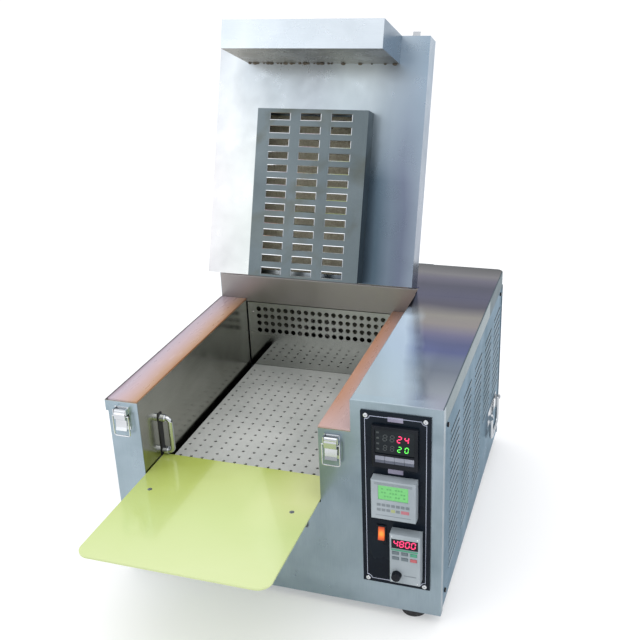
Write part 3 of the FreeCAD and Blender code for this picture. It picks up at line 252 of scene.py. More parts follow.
def side_painted_shade(graph, colour):
    """The side sheet, with painted shade: darker than the front, and a painted shadow where it goes in under
    the cover's lip.
    """
    colour = graph.shade(1.0, painted_shade_fall(graph, colour), (0.78, 0.82, 0.85))
    return graph.shade(graph.band(graph.axis("Z"), *LIP_SHADOW_Z), colour, (0.25, 0.27, 0.30))


def painted_sheen_mask(graph):
    """1 over the painted sheen: the milky wedge beside the chamber, which widens towards the front, and a
    painted highlight on the front bend.
    """
    wave = graph.noise(10.0, detail=2.0)
    slant = graph.plus(graph.axis("X"), graph.times(graph.axis("Y"), 0.22))
    aside = graph.plus(slant, graph.band(wave, 0.2, 0.8, -0.008, 0.008))
    depth = graph.plus(graph.axis("Y"), graph.band(wave, 0.2, 0.8, -0.03, 0.03))
    sheen_wedge = graph.times(graph.band(aside, 0.212, 0.176, 0.0, 0.9), graph.band(depth, 0.18, 0.12))
    bend_highlight = graph.times(graph.band(graph.axis("Y"), -0.168, -0.182), graph.band(aside, 0.24, 0.16))
    return graph.maths("MAXIMUM", sheen_wedge, bend_highlight)


def top_painted_reflections(graph, colour):
    """Painted reflections: the blue, olive and purple bands that lie across the polished top from front to
    back.
    """
    wave = graph.noise(5.0, (0.5, 1.0, 1.0), detail=2.0)
    place = graph.waver(graph.axis("Y"), wave, 0.035)
    stops = [(0.03, (1.0, 1.0, 0.98)), (0.09, (0.88, 0.92, 0.84)), (0.17, (0.60, 0.65, 0.63)),
             (0.25, (0.32, 0.38, 0.46)), (0.33, (0.11, 0.14, 0.33)), (0.38, (0.08, 0.10, 0.24)),
             (0.43, (0.14, 0.135, 0.24)), (0.50, (0.26, 0.23, 0.22)), (0.57, (0.26, 0.24, 0.21)),
             (0.65, (0.05, 0.045, 0.08)), (0.72, (0.05, 0.05, 0.11)), (0.81, (0.03, 0.03, 0.07)),
             (0.87, (0.10, 0.09, 0.14)), (0.92, (0.17, 0.16, 0.17)), (1.0, (0.06, 0.06, 0.06))]
    reflection_bands = graph.ramp(graph.band(place, *TOP_Y), stops)
    colour = graph.blend(0.97, colour, reflection_bands)
    # Painted shade over the front of the top, right of the chamber.
    corner = graph.times(graph.band(graph.axis("X"), 0.185, 0.240), graph.band(place, 0.08, -0.07))
    colour = graph.shade(corner, colour, (0.33, 0.35, 0.43))
    # The painted sheen's colour, lighter towards the back.
    forward = graph.band(graph.axis("Y"), -0.18, 0.09)
    sheen_colour = graph.ramp(forward, [(0.0, (0.42, 0.52, 0.58)), (1.0, (0.58, 0.70, 0.79))])
    colour = graph.blend(painted_sheen_mask(graph), colour, sheen_colour)
    # Faces looking along X, the lip, take the painted shade tone.
    return graph.blend(graph.facing("X"), colour, LIP_PAINTED_SHADE)


def lip_glancing_shade(graph):
    """Painted shade: the cover's right lip is made to reflect less at a glancing angle than its polished
    top.
    """
    return graph.blend(graph.facing("X"), WHITE, (0.64, 0.70, 0.70))


def side_glancing_shade(graph):
    """The side sheet's glancing reflection is tinted darker, unevenly in noisy patches."""
    # Painted shade: the side sheet's glancing reflection is tinted darker.
    return graph.ramp(graph.noise(4.0, detail=2.0), [(0.2, (0.53, 0.64, 0.72)), (0.8, (0.60, 0.71, 0.80))])


def deck_painted_shade_and_reflections(graph, colour):
    """The rear deck: painted reflections in bands on top like the cover's, and painted shade on the upright
    over the chamber, olive, with its lips facing X in the painted shade tone.
    """
    upright = graph.blend(graph.facing("X"), graph.blend(0.9, colour, (0.31, 0.285, 0.275)), LIP_PAINTED_SHADE)
    return graph.blend(graph.band(graph.axis("Z"), *DECK_TOP_Z), upright, top_painted_reflections(graph, colour))


def dull_upright(graph, rough):
    """The rear deck's upright is brushed, its top polished."""
    return graph.plus(rough, graph.band(graph.axis("Z"), *DECK_TOP_Z, 0.22, 0.0))


def dull_above(graph, rough):
    """The return-air grille is mirror bright below and dull round its punched holes."""
    return graph.plus(rough, graph.band(graph.axis("Z"), *BAFFLE_DULL_Z, 0.0, 0.26))


def lid_painted_light(graph, colour):
    """Painted light and shade on the lid's inside: bright at the left with a painted reflection of the left
    lamp, falling to a dark blue painted shade at the lower right.
    """
    wave = graph.noise(3.0, detail=2.0)
    across = graph.band(graph.waver(graph.axis("X"), wave, 0.03), *LID_X)
    upper = graph.ramp(across, [
        (0.0, (0.86, 0.80, 0.76)), (0.08, (0.95, 0.89, 0.83)), (0.15, (0.76, 0.73, 0.70)),
        (0.30, (0.60, 0.60, 0.59)), (0.50, (0.62, 0.61, 0.60)), (0.62, (0.92, 0.92, 0.88)),
        (0.74, (0.92, 0.92, 0.88)), (0.84, (0.60, 0.62, 0.63)), (1.0, (0.44, 0.50, 0.55))])
    lower = graph.ramp(across, [
        (0.0, (0.96, 0.84, 0.77)), (0.18, (0.94, 0.87, 0.77)), (0.50, (0.58, 0.58, 0.57)),
        (0.72, (0.14, 0.17, 0.20)), (0.80, (0.14, 0.18, 0.21)), (0.86, (0.25, 0.28, 0.32)),
        (0.92, (0.25, 0.26, 0.32)), (1.0, (0.44, 0.46, 0.50))])
    height = graph.waver(graph.axis("Z"), wave, 0.05)
    return graph.blend(1.0, colour, graph.blend(graph.band(height, *LID_Z), lower, upper), "MULTIPLY")


def duct_tint(graph, colour):
    """The duct box is heat-tinted in patches."""
    scorch = graph.noise(11.0, detail=4.0, distortion=0.6)
    return graph.shade(graph.band(scorch, 0.50, 0.72), colour, (0.80, 0.72, 0.58))


def box_painted_shade_and_burn(graph, colour):
    """The front box: bright on its face, with painted shade on its ends, and on the side facing the duct
    burnt brown that is partly a burn and partly painted shade.
    """
    colour = graph.shade(graph.facing("X"), colour, (0.36, 0.43, 0.50))
    colour = graph.shade(graph.facing("X", -0.4, -0.6), colour, (0.5, 0.5, 0.5))
    under_shade_and_burn = graph.ramp(graph.band(graph.axis("X"), *BOX_X), [
        (0.0, (0.30, 0.26, 0.20)), (0.28, (0.20, 0.16, 0.09)), (0.45, (0.10, 0.08, 0.04)),
        (0.66, (0.14, 0.115, 0.055)), (0.78, (0.11, 0.09, 0.045)), (0.92, (0.05, 0.04, 0.025))])
    return graph.blend(graph.facing("Z", -0.4, -0.6), colour, under_shade_and_burn)


def black_screws(graph, colour):
    """The screws of the right side are blackened, the others bright."""
    return graph.shade(graph.band(graph.axis("X"), *SIDE_SCREW_X), colour, (0.05, 0.05, 0.055))


def dark_edge_line(graph, colour):
    """The liner's folded lip is drawn dark in a thin line along the left seal's outer edge."""
    outside = graph.times(graph.band(graph.axis("X"), *SEAL_EDGE_LINE_X), graph.facing("Z"))
    return graph.shade(outside, colour, (0.10, 0.09, 0.10))


def copper_silicone():
    """Glossy coppery seal: pink in the middle, orange towards the edges, with dust and wear."""
    graph = Graph("copper_seal", roughness=0.3, Coat_Weight=0.2, Coat_Roughness=0.15)
    edge = graph.noise(16.0, (1.0, 0.3, 1.0), detail=3.0)
    reach = graph.waver(graph.axis("X"), edge, 0.012)
    left = graph.ramp(graph.band(reach, *LEFT_SEAL_X), [
        (0.0, (0.30, 0.22, 0.27)), (0.12, (0.43, 0.35, 0.41)), (0.40, (0.47, 0.34, 0.36)),
        (0.62, (0.46, 0.30, 0.26)), (0.82, (0.42, 0.24, 0.14)), (1.0, (0.34, 0.15, 0.06))])
    right = graph.ramp(graph.band(reach, *RIGHT_SEAL_X), [
        (0.0, (0.46, 0.22, 0.12)), (0.3, (0.48, 0.27, 0.20)), (0.6, (0.49, 0.33, 0.31)),
        (1.0, (0.48, 0.36, 0.37))])
    paler = graph.band(graph.axis("Y"), -0.10, -0.19, 0.0, 0.7)
    right = graph.blend(paler, right, (0.54, 0.38, 0.36))
    colour = graph.blend(graph.band(graph.axis("X"), -0.01, 0.01), left, right)
    colour = graph.shade(graph.band(graph.axis("X"), *LEFT_SEAL_RIM_X), colour, (0.12, 0.10, 0.11))
    wear = graph.noise(120.0, (1.0, 0.2, 1.0), detail=4.0)
    graph.set("Base Color", graph.blend(graph.band(wear, 0.60, 0.75, 0.0, 0.3), colour, (0.60, 0.46, 0.44)))
    graph.set("Roughness", graph.band(wear, 0.3, 0.7, 0.24, 0.42))
    graph.bump(graph.noise(260.0, detail=3.0), 0.12, 0.4 * MM)
    return graph.material


def rubber():
    """Matt black rubber with a little dust on it."""
    graph = Graph("black_rubber")
    dust = graph.noise(60.0, detail=5.0)
    dusty = graph.band(dust, 0.45, 0.8)
    graph.set("Base Color", graph.blend(dusty, (0.012, 0.012, 0.014), (0.06, 0.06, 0.062)))
    graph.set("Roughness", graph.band(dust, 0.3, 0.7, 0.55, 0.8))
    graph.bump(graph.noise(900.0, detail=2.0), 0.2, 0.3 * MM)
    return graph.material


def coated_plate():
    """The matt beige work plate, with a fine grain and the faint scorching of use."""
    graph = Graph("coated_plate", Specular_IOR_Level=0.35)
    scorch = graph.noise(8.0, detail=4.0, distortion=0.5)
    colour = graph.blend(graph.band(scorch, 0.35, 0.7), (0.41, 0.425, 0.405), (0.52, 0.53, 0.505))
    speck = graph.noise(900.0, detail=2.0)
    colour = graph.blend(graph.band(speck, 0.62, 0.72, 0.0, 0.4), colour, (0.30, 0.30, 0.28))
    graph.set("Base Color", colour)
    graph.set("Roughness", graph.band(scorch, 0.3, 0.7, 0.42, 0.6))
    graph.bump(speck, 0.15, 0.15 * MM)
    return graph.material


def glass_epoxy():
    """Yellow-green laminate: the glass cloth's weave lies under a glossy resin face."""
    graph = Graph("glass_epoxy", roughness=0.16, IOR=1.55, Coat_Weight=0.5, Coat_Roughness=0.06)
    cloud = graph.noise(6.0, detail=3.0, distortion=0.5)
    aside = graph.band(graph.axis("X"), *SHELF_X, 0.05, -0.05)
    depth = graph.waver(graph.plus(graph.axis("Y"), aside), cloud, 0.06)
    # Darker towards the back, where the shelf runs in under the chamber, and towards the left: painted
    # shade, over cloudy tone.
    colour = graph.ramp(graph.band(depth, *SHELF_Y), [
        (0.0, (0.56, 0.64, 0.30)), (0.45, (0.50, 0.60, 0.22)), (0.8, (0.45, 0.535, 0.145)),
        (1.0, (0.38, 0.45, 0.09))])
    # A painted pool of light on the shelf's right rear.
    painted_light_patch = graph.times(graph.band(graph.axis("X"), -0.03, 0.05), graph.band(depth, -0.33, -0.25, 0.0, 0.6))
    colour = graph.blend(painted_light_patch, colour, (0.72, 0.74, 0.37))
    warp, weft = (graph.node("ShaderNodeTexWave", {"Vector": graph.place, "Scale": 160.0, "Distortion": 0.6},
                             bands_direction=axis).outputs["Fac"] for axis in "XY")
    weave = graph.times(warp, weft)
    graph.set("Base Color", graph.blend(graph.band(weave, 0.2, 0.9, 0.0, 0.14), colour, (0.70, 0.76, 0.40)))
    graph.bump(weave, 0.04, 0.1 * MM)
    return graph.material


def painted(name, dark, light, roughness, grain=500.0, bump=0.12, **sockets):
    """Paint or moulded plastic: two near tones in soft clouds over a fine texture."""
    graph = Graph(name, **sockets)
    cloud = graph.noise(18.0, detail=4.0)
    graph.set("Base Color", graph.blend(graph.band(cloud, 0.35, 0.65), dark, light))
    graph.set("Roughness", graph.band(cloud, 0.3, 0.7, roughness[0], roughness[1]))
    graph.bump(graph.noise(grain, detail=2.0), bump, 0.15 * MM)
    return graph.material


def wool():
    """Mineral wool: pale straw-coloured fibres drawn out sideways."""
    graph = Graph("mineral_wool", roughness=0.95, Sheen_Weight=0.3)
    fibre = graph.noise(300.0, (1.0, 0.15, 1.0), detail=6.0, distortion=1.5)
    graph.set("Base Color", graph.ramp(fibre, [(0.3, (0.48, 0.42, 0.28)), (0.7, (0.78, 0.74, 0.60))]))
    graph.bump(fibre, 0.8, 1.0 * MM)
    return graph.material


def lit_lens(centre):
    """The glowing rocker: yellow where the lamp sits behind it, deep orange towards its ends."""
    graph = Graph("neon_lens", roughness=0.3, Coat_Weight=0.1)
    away = graph.node("ShaderNodeVectorMath", {0: graph.place, 1: tuple(centre)}, operation="DISTANCE")
    ripple = graph.noise(500.0, detail=2.0)
    reach = graph.waver(away.outputs["Value"], ripple, 0.8 * MM)
    glow = graph.ramp(graph.band(reach, 0.0, 14 * MM),
                      [(0.0, (1.0, 0.50, 0.07)), (0.22, (0.92, 0.32, 0.03)), (0.42, (0.75, 0.14, 0.01)),
                       (0.7, (0.45, 0.05, 0.0)), (1.0, (0.24, 0.015, 0.0))])
    graph.set("Base Color", (0.16, 0.03, 0.01, 1.0))
    graph.set("Emission Color", glow)
    graph.set("Emission Strength", 1.2)
    graph.bump(ripple, 0.1, 0.2 * MM)
    return graph.material


def glowing(name, colour, strength, uneven=0.12):
    """A lit display part, slightly uneven as light pipes are."""
    graph = Graph(name, roughness=0.35)
    cloud = graph.noise(300.0, detail=2.0)
    dim = tuple(part * (1.0 - 2 * uneven) for part in colour)
    graph.set("Base Color", (colour[0] * 0.3, colour[1] * 0.3, colour[2] * 0.3, 1.0))
    graph.set("Emission Color", graph.blend(graph.band(cloud, 0.3, 0.7), dim, colour))
    graph.set("Emission Strength", strength)
    return graph.material


def face_of(node):
    """An instrument's middle in X and Z, on its front face."""
    low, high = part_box(node)
    return Vector(((low.x + high.x) / 2, low.y, (low.z + high.z) / 2))


SHEET_DARK = (0.28, 0.36, 0.40)
SHEET_LIGHT = (0.43, 0.52, 0.58)
LID_DARK = (0.64, 0.73, 0.81)
LID_LIGHT = (0.75, 0.84, 0.93)
LINER_DARK = (0.30, 0.30, 0.26)
LINER_LIGHT = (0.44, 0.44, 0.40)
CHROME_DARK = (0.46, 0.48, 0.50)
CHROME_LIGHT = (0.66, 0.68, 0.70)
POLISHED_DARK = (0.40, 0.42, 0.46)
POLISHED_LIGHT = (0.48, 0.50, 0.53)

FINISHES = {
    "satin_steel": steel("satin_steel", SHEET_DARK, SHEET_LIGHT, (0.26, 0.42), "Z", tint=painted_shade_fall),
    "bright_steel": steel("bright_steel", POLISHED_DARK, POLISHED_LIGHT, (0.10, 0.22), "Y",
                          tint=top_painted_reflections, sheen_painter=painted_sheen_mask, edge=lip_glancing_shade),
    "chamber_steel": steel("chamber_steel", LINER_DARK, LINER_LIGHT, (0.15, 0.27), "Y", line=0.02,
                           tint=dark_edge_line, waves=2 * MM),
    "lid_steel": steel("lid_steel", LID_DARK, LID_LIGHT, (0.24, 0.40), "Z", clouds=5.0, tint=lid_painted_light),
    "chrome": steel("chrome", CHROME_DARK, CHROME_LIGHT, (0.08, 0.20), "X", line=0.01),
    "hinge_steel": steel("hinge_steel", (0.38, 0.37, 0.35), (0.52, 0.51, 0.49), (0.28, 0.45), "X"),
    "wall_seal": copper_silicone(),
    "rubber": rubber(),
    "work_plate": coated_plate(),
    "glass_epoxy": glass_epoxy(),
    "dark_bracket": painted("dark_bracket", (0.05, 0.055, 0.06), (0.10, 0.105, 0.11), (0.35, 0.5)),
    "mineral_wool": wool(),
    "heater_sheath": painted("heater_sheath", (0.06, 0.05, 0.045), (0.15, 0.12, 0.10), (0.5, 0.7)),
    "motor_paint": painted("motor_paint", (0.035, 0.04, 0.045), (0.06, 0.065, 0.07), (0.35, 0.5)),
    "aluminium": steel("aluminium", (0.60, 0.61, 0.62), (0.72, 0.73, 0.74), (0.3, 0.45), "Y"),
    "panel_black": painted("panel_black", (0.003, 0.006, 0.012), (0.006, 0.011, 0.018), (0.2, 0.34),
                           bump=0.02, Specular_IOR_Level=0.12),
    "meter_black": painted("meter_black", (0.004, 0.006, 0.010), (0.010, 0.012, 0.017), (0.3, 0.45),
                           Specular_IOR_Level=0.16),
    "case_grey": painted("case_grey", (0.29, 0.335, 0.365), (0.35, 0.395, 0.425), (0.38, 0.5)),
    "neon_lens": lit_lens(face_of("power_rocker")),
    "key_grey": painted("key_grey", (0.10, 0.13, 0.15), (0.16, 0.20, 0.22), (0.45, 0.6)),
    "key_green": painted("key_green", (0.05, 0.26, 0.16), (0.08, 0.34, 0.21), (0.45, 0.6)),
    "key_red": painted("key_red", (0.42, 0.08, 0.10), (0.52, 0.14, 0.15), (0.45, 0.6)),
}

SPECIAL = {
    "machine_screws": steel("screw_steel", CHROME_DARK, CHROME_LIGHT, (0.12, 0.24), "X", line=0.01,
                            tint=black_screws),
    # The side sheet: the satin steel with painted shade added.
    "right_side_panel": steel("side_steel", SHEET_DARK, SHEET_LIGHT, (0.26, 0.42), "Z", tint=side_painted_shade,
                              edge=side_glancing_shade),
    "rear_deck": steel("deck_steel", POLISHED_DARK, POLISHED_LIGHT, (0.10, 0.22), "Y",
                       tint=deck_painted_shade_and_reflections, dull=dull_upright, edge=lip_glancing_shade),
    "rear_baffle": steel("baffle_steel", (0.42, 0.43, 0.41), (0.52, 0.53, 0.51), (0.02, 0.06), "Z",
                         line=0.01, dull=dull_above),
    # The duct box's steel is drawn much darker than the lid's: painted shade.
    "lid_duct_box": steel("duct_steel", (0.125, 0.155, 0.168), (0.17, 0.205, 0.22), (0.3, 0.45), "Z",
                          tint=duct_tint),
    "lid_front_box": steel("box_steel", (0.60, 0.66, 0.71), (0.70, 0.76, 0.81), (0.22, 0.36), "X",
                           tint=box_painted_shade_and_burn),
}

for row in frame["record"]["subparts"]:
    node = frame["nodes"][row["node"]]
    node.data.materials.clear()
    node.data.materials.append(SPECIAL.get(row["node"]) or FINISHES[row["material_slot"]])

GLASS_DARK = painted("display_glass", (0.004, 0.008, 0.011), (0.009, 0.014, 0.018), (0.08, 0.16), bump=0.0,
                     Specular_IOR_Level=0.2)
RED_LIGHT = glowing("red_digits", (1.0, 0.04, 0.17), 1.7)
GREEN_LIGHT = glowing("green_digits", (0.12, 0.95, 0.10), 1.5)
UNLIT = painted("unlit_digits", (0.034, 0.042, 0.046), (0.05, 0.06, 0.064), (0.35, 0.45))
LCD_GREEN = glowing("lcd_backlight", (0.18, 0.60, 0.19), 0.74, 0.08)
LCD_MARK = painted("lcd_marks", (0.09, 0.38, 0.11), (0.12, 0.44, 0.14), (0.35, 0.45))
KEY_SILVER = painted("silver_keys", (0.22, 0.235, 0.29), (0.33, 0.345, 0.41), (0.35, 0.5))
KEY_BLUE = painted("blue_grey_keys", (0.07, 0.08, 0.115), (0.12, 0.135, 0.18), (0.35, 0.5))
KEY_SLATE = painted("slate_keys", (0.14, 0.17, 0.19), (0.20, 0.23, 0.25), (0.4, 0.55))
KEY_OLIVE = painted("olive_keys", (0.32, 0.36, 0.15), (0.40, 0.44, 0.21), (0.4, 0.55))
KEY_ROSE = painted("rose_keys", (0.42, 0.13, 0.16), (0.50, 0.19, 0.22), (0.4, 0.55))
LABEL = painted("blank_label", (0.19, 0.175, 0.26), (0.33, 0.31, 0.41), (0.3, 0.45), bump=0.3)
INLAY = steel("silver_inlay", (0.36, 0.39, 0.50), (0.50, 0.53, 0.62), (0.2, 0.32), "Z")
WELD = painted("weld_burn", (0.05, 0.04, 0.03), (0.16, 0.13, 0.09), (0.5, 0.7), bump=0.5)


# ---- mesh helpers ---------------------------------------------------------------------------
def placed(name, data):
    """A new object linked into the scene."""
    made = bpy.data.objects.new(name, data)
    bpy.context.scene.collection.objects.link(made)
    return made


def piece(name, build, material, body):
    """A mesh piece filled by a function, riding on a body."""
    mesh = bpy.data.meshes.new(name)
    bm = bmesh.new()
    build(bm)
    bmesh.ops.recalc_face_normals(bm, faces=bm.faces)
    bm.to_mesh(mesh)
    bm.free()
    mesh.materials.append(material)
    made = placed(name, mesh)
    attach(made, body)


def prism(bm, outline, front, back):
    """An outline of X and Z points drawn through a range of Y."""
    near = [bm.verts.new((x, front, z)) for x, z in outline]
    far = [bm.verts.new((x, back, z)) for x, z in outline]
    bm.faces.new(near)
    bm.faces.new(list(reversed(far)))
    for k in range(len(outline)):
        after = (k + 1) % len(outline)
        bm.faces.new((near[after], near[k], far[k], far[after]))


def rounded_outline(x, z, width, height, corner, steps=4):
    """A rectangle with round corners about a middle point."""
    points = []
    for turn, (sx, sz) in enumerate(((1, 1), (-1, 1), (-1, -1), (1, -1))):
        middle = (x + sx * (width / 2 - corner), z + sz * (height / 2 - corner))
        for k in range(steps + 1):
            angle = math.radians(90 * turn + 90 * k / steps)
            points.append((middle[0] + corner * math.cos(angle), middle[1] + corner * math.sin(angle)))
    return points


def tile(bm, x, z, width, height, front, back, corner=KEY_CORNER):
    """A small plate or key with round corners and a chamfered face."""
    chamfer = min(KEY_CHAMFER, corner / 2)
    outer = rounded_outline(x, z, width, height, corner)
    inner = rounded_outline(x, z, width - 2 * chamfer, height - 2 * chamfer, corner - chamfer)
    face = [bm.verts.new((px, front, pz)) for px, pz in inner]
    shoulder = [bm.verts.new((px, front + chamfer, pz)) for px, pz in outer]
    far = [bm.verts.new((px, back, pz)) for px, pz in outer]
    bm.faces.new(face)
    bm.faces.new(list(reversed(far)))
    for k in range(len(outer)):
        after = (k + 1) % len(outer)
        bm.faces.new((face[after], face[k], shoulder[k], shoulder[after]))
        bm.faces.new((shoulder[after], shoulder[k], far[k], far[after]))


def join_rings(bm, rings):
    """Faces between each ring of points and the next, the last joined to the first."""
    for near, far in zip(rings, rings[1:] + rings[:1]):
        for k in range(len(near)):
            after = (k + 1) % len(near)
            bm.faces.new((near[k], near[after], far[after], far[k]))


def dome(bm, place, radius):
    """A screw's domed head, sunk into the face under it."""
    bmesh.ops.create_uvsphere(bm, u_segments=16, v_segments=8, radius=radius,
                              matrix=Matrix.Translation(place))


def plates(name, face, places, front, back, material, corner=KEY_CORNER):
    """Small plates on an instrument, each its X, Z, width and height in mm about the face's middle."""
    def build(bm):
        for x, z, width, height in places:
            tile(bm, face.x + x * MM, face.z + z * MM, width * MM, height * MM, front, back, corner)

    piece(name, build, material, "cabinet")


SEGMENTS = {"0": "abcdef", "2": "abged", "4": "fgbc", "8": "abcdefg"}


def digit(bm, shown, x, z, height, front, back):
    """One seven-segment digit about a middle point; shown names the segments."""
    half_h = height / 2
    half_w = height * 0.27
    thick = height * 0.075
    bars = {
        "a": (0, half_h, True), "g": (0, 0, True), "d": (0, -half_h, True),
        "f": (-half_w, half_h / 2, False), "b": (half_w, half_h / 2, False),
        "e": (-half_w, -half_h / 2, False), "c": (half_w, -half_h / 2, False)}
    for letter in shown:
        u, v, level = bars[letter]
        reach = (half_w if level else half_h / 2) - thick * 0.6
        bar = [(-reach, 0), (-reach + thick, thick), (reach - thick, thick),
               (reach, 0), (reach - thick, -thick), (-reach + thick, -thick)]
        if not level:
            bar = [(across, run) for run, across in bar]
        prism(bm, [(x + u + du + DIGIT_SLANT * (v + dv), z + v + dv) for du, dv in bar], front, back)


def number(bm, text, x, z, pitch, height, window):
    """A row of digits from its first one's middle, standing in a display window."""
    for k, letter in enumerate(text):
        digit(bm, SEGMENTS[letter], x + k * pitch, z, height, window - DIGIT_RISE, window + SINK)


def wire(name, points, radius, material, body, closed=False):
    """A round wire through points, as a curve."""
    curve = bpy.data.curves.new(name, "CURVE")
    curve.dimensions = "3D"
    curve.bevel_depth = radius
    curve.bevel_resolution = 2
    spline = curve.splines.new("POLY")
    spline.points.add(len(points) - 1)
    for point, place in zip(spline.points, points):
        point.co = (*place, 1.0)
    spline.use_cyclic_u = closed
    curve.materials.append(material)
    made = placed(name, curve)
    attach(made, body)


# ---- control panel --------------------------------------------------------------------------
PANEL = face_of("control_panel")


def panel_inlay():
    """The silver line let into the panel, curving in round the four corner screws."""
    inset = 7.0 * MM
    screw = Vector((46.5 * MM, 150.5 * MM))
    hook = 6.2 * MM
    steps = 6
    low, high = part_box("control_panel")
    half = Vector(((high.x - low.x) / 2 - inset, (high.z - low.z) / 2 - inset))
    points = []
    for sx, sz in ((1, 1), (-1, 1), (-1, -1), (1, -1)):
        arc = []
        for k in range(steps + 1):
            angle = math.radians(90 * k / steps)
            x = screw.x - hook * math.cos(angle)
            z = screw.y - hook * math.sin(angle)
            arc.append((min(x, half.x), min(z, half.y)))
        arc = [(half.x, screw.y - hook)] + arc[::-1] + [(screw.x - hook, half.y)]
        if sx * sz < 0:
            arc.reverse()
        points += [(PANEL.x + sx * x, PANEL.y, PANEL.z + sz * z) for x, z in arc]
    wire("panel_inlay", points, 0.85 * MM, INLAY, "cabinet", closed=True)


def label_plates():
    """Blank plates above the two upper instruments."""
    level = Vector((PANEL.x, PANEL.y, 0.0))
    plates("label_plates", level, [(0, 372.5, 24, 8), (0, 282.0, 24, 8)], PANEL.y - 0.5 * MM,
           PANEL.y + SINK, LABEL)


def controller_face():
    """The temperature controller: dark window, two rows of digits, indicator marks and keys."""
    face = face_of("temperature_controller")
    window = face.y + 1.6 * MM
    plates("controller_window", face, [(0, 10, 61.6, 41.6)], window, face.y + 2.3 * MM, GLASS_DARK)
    pitch = 11.2 * MM
    first = face.x - 15.0 * MM
    lit = first + 2 * pitch
    tall, short = 10.4 * MM, 9.0 * MM
    upper, lower = face.z + 17.0 * MM, face.z - 0.2 * MM

    def unlit(bm):
        number(bm, "88", first, upper, pitch, tall, window)
        number(bm, "88", first, lower, pitch, short, window)
        for k in range(4):
            tile(bm, face.x - 26.5 * MM, face.z + (25 - 9.5 * k) * MM, 4.5 * MM, 3.0 * MM,
                 window - DIGIT_RISE, window + SINK)

    piece("controller_unlit", unlit, UNLIT, "cabinet")
    piece("controller_red", lambda bm: number(bm, "24", lit, upper, pitch, tall, window),
          RED_LIGHT, "cabinet")
    piece("controller_green", lambda bm: number(bm, "20", lit, lower, pitch, short, window),
          GREEN_LIGHT, "cabinet")
    rows = (("controller_keys", -18.2, 7.0, KEY_SILVER), ("controller_key_skirts", -24.2, 4.8, KEY_BLUE))
    for name, z, height, material in rows:
        plates(name, face, [((k - 1.5) * 15.3, z, 14.9, height) for k in range(4)],
               face.y - 0.2 * MM, face.y + 1.3 * MM, material)


def relay_face():
    """The timer relay: a lit screen with faint blocks, and a membrane key field under it."""
    face = face_of("timer_relay")
    screen = face.y + 1.1 * MM
    plates("relay_screen", face, [(0, 14, 47.4, 25.4)], screen, face.y + 1.8 * MM, LCD_GREEN)
    blocks = [((column - 4) * 4.4, 20.5 - 6.5 * row, 3.2, 3.0)
              for row in range(3) for column in range(9) if (column * 5 + row * 3) % 7 < 5]
    plates("relay_screen_blocks", face, blocks, screen - 0.12 * MM, screen + SINK, LCD_MARK,
           0.4 * MM)
    coloured = (3, 5, 6)      # the lower row's places taken by the olive and the rose key
    keys = [((column - 3) * 7.6, -8.0 - 9.0 * row, 6.0, 5.0)
            for row in range(2) for column in range(7) if row == 0 or column not in coloured]
    plates("relay_keys", face, keys, face.y - 0.35 * MM, face.y + SINK, KEY_SLATE)
    plates("relay_olive_key", face, [(0, -17.0, 6.6, 5.4)], face.y - 0.4 * MM, face.y + SINK, KEY_OLIVE)
    plates("relay_rose_key", face, [(19.0, -17.0, 13.0, 5.8)], face.y - 0.4 * MM, face.y + SINK, KEY_ROSE)
    ridges = [(0, 31.5 - 1.6 * k, 60, 0.7) for k in range(3)] + [(0, -27.0, 56, 1.0)]
    plates("relay_ridges", face, ridges, face.y - 0.2 * MM, face.y + SINK, KEY_SLATE, 0.3 * MM)


def inverter_face():
    """The inverter's keypad: red digits in a dark window, a green strip, dial marks and screws."""
    face = face_of("inverter")
    window = face.y + 0.7 * MM
    plates("inverter_window", face, [(0, 29.5, 42.6, 17.6)], window, face.y + 1.5 * MM, GLASS_DARK)
    piece("inverter_digits", lambda bm: number(bm, "4800", face.x - 14.2 * MM, face.z + 30.1 * MM,
                                               9.4 * MM, 11.0 * MM, window),
          RED_LIGHT, "cabinet")
    plates("inverter_strip", face, [(0, 18.3, 43, 3.2)], face.y - 0.25 * MM, face.y + SINK,
           FINISHES["key_green"])
    raised = face.y - 0.15 * MM

    def marks(bm):
        knob = face_of("inverter_knob")
        ring = 10.4 * MM
        for k in range(11):
            angle = math.radians(-150 + 30 * k)
            tile(bm, knob.x + ring * math.sin(angle), knob.z + ring * math.cos(angle), 0.9 * MM, 0.9 * MM,
                 raised, face.y + SINK, 0.35 * MM)
        tile(bm, face.x + 9.0 * MM, face.z - 29.0 * MM, 20 * MM, 2.2 * MM, raised, face.y + SINK)

    piece("inverter_marks", marks, KEY_SLATE, "cabinet")

    def screws(bm):
        for sx in (-1, 1):
            for sz in (-1, 1):
                dome(bm, (face.x + sx * 20.5 * MM, face.y + 0.9 * MM, face.z + sz * 42.0 * MM), 1.7 * MM)

    piece("inverter_screws", screws, FINISHES["chrome"], "cabinet")


# ---- lid details ----------------------------------------------------------------------------
def opened(point):
    """A point of the closed lid, carried to the open rest pose."""
    return HINGE + Matrix.Rotation(math.radians(-LID_OPEN_DEG), 3, "X") @ (Vector(point) - HINGE)


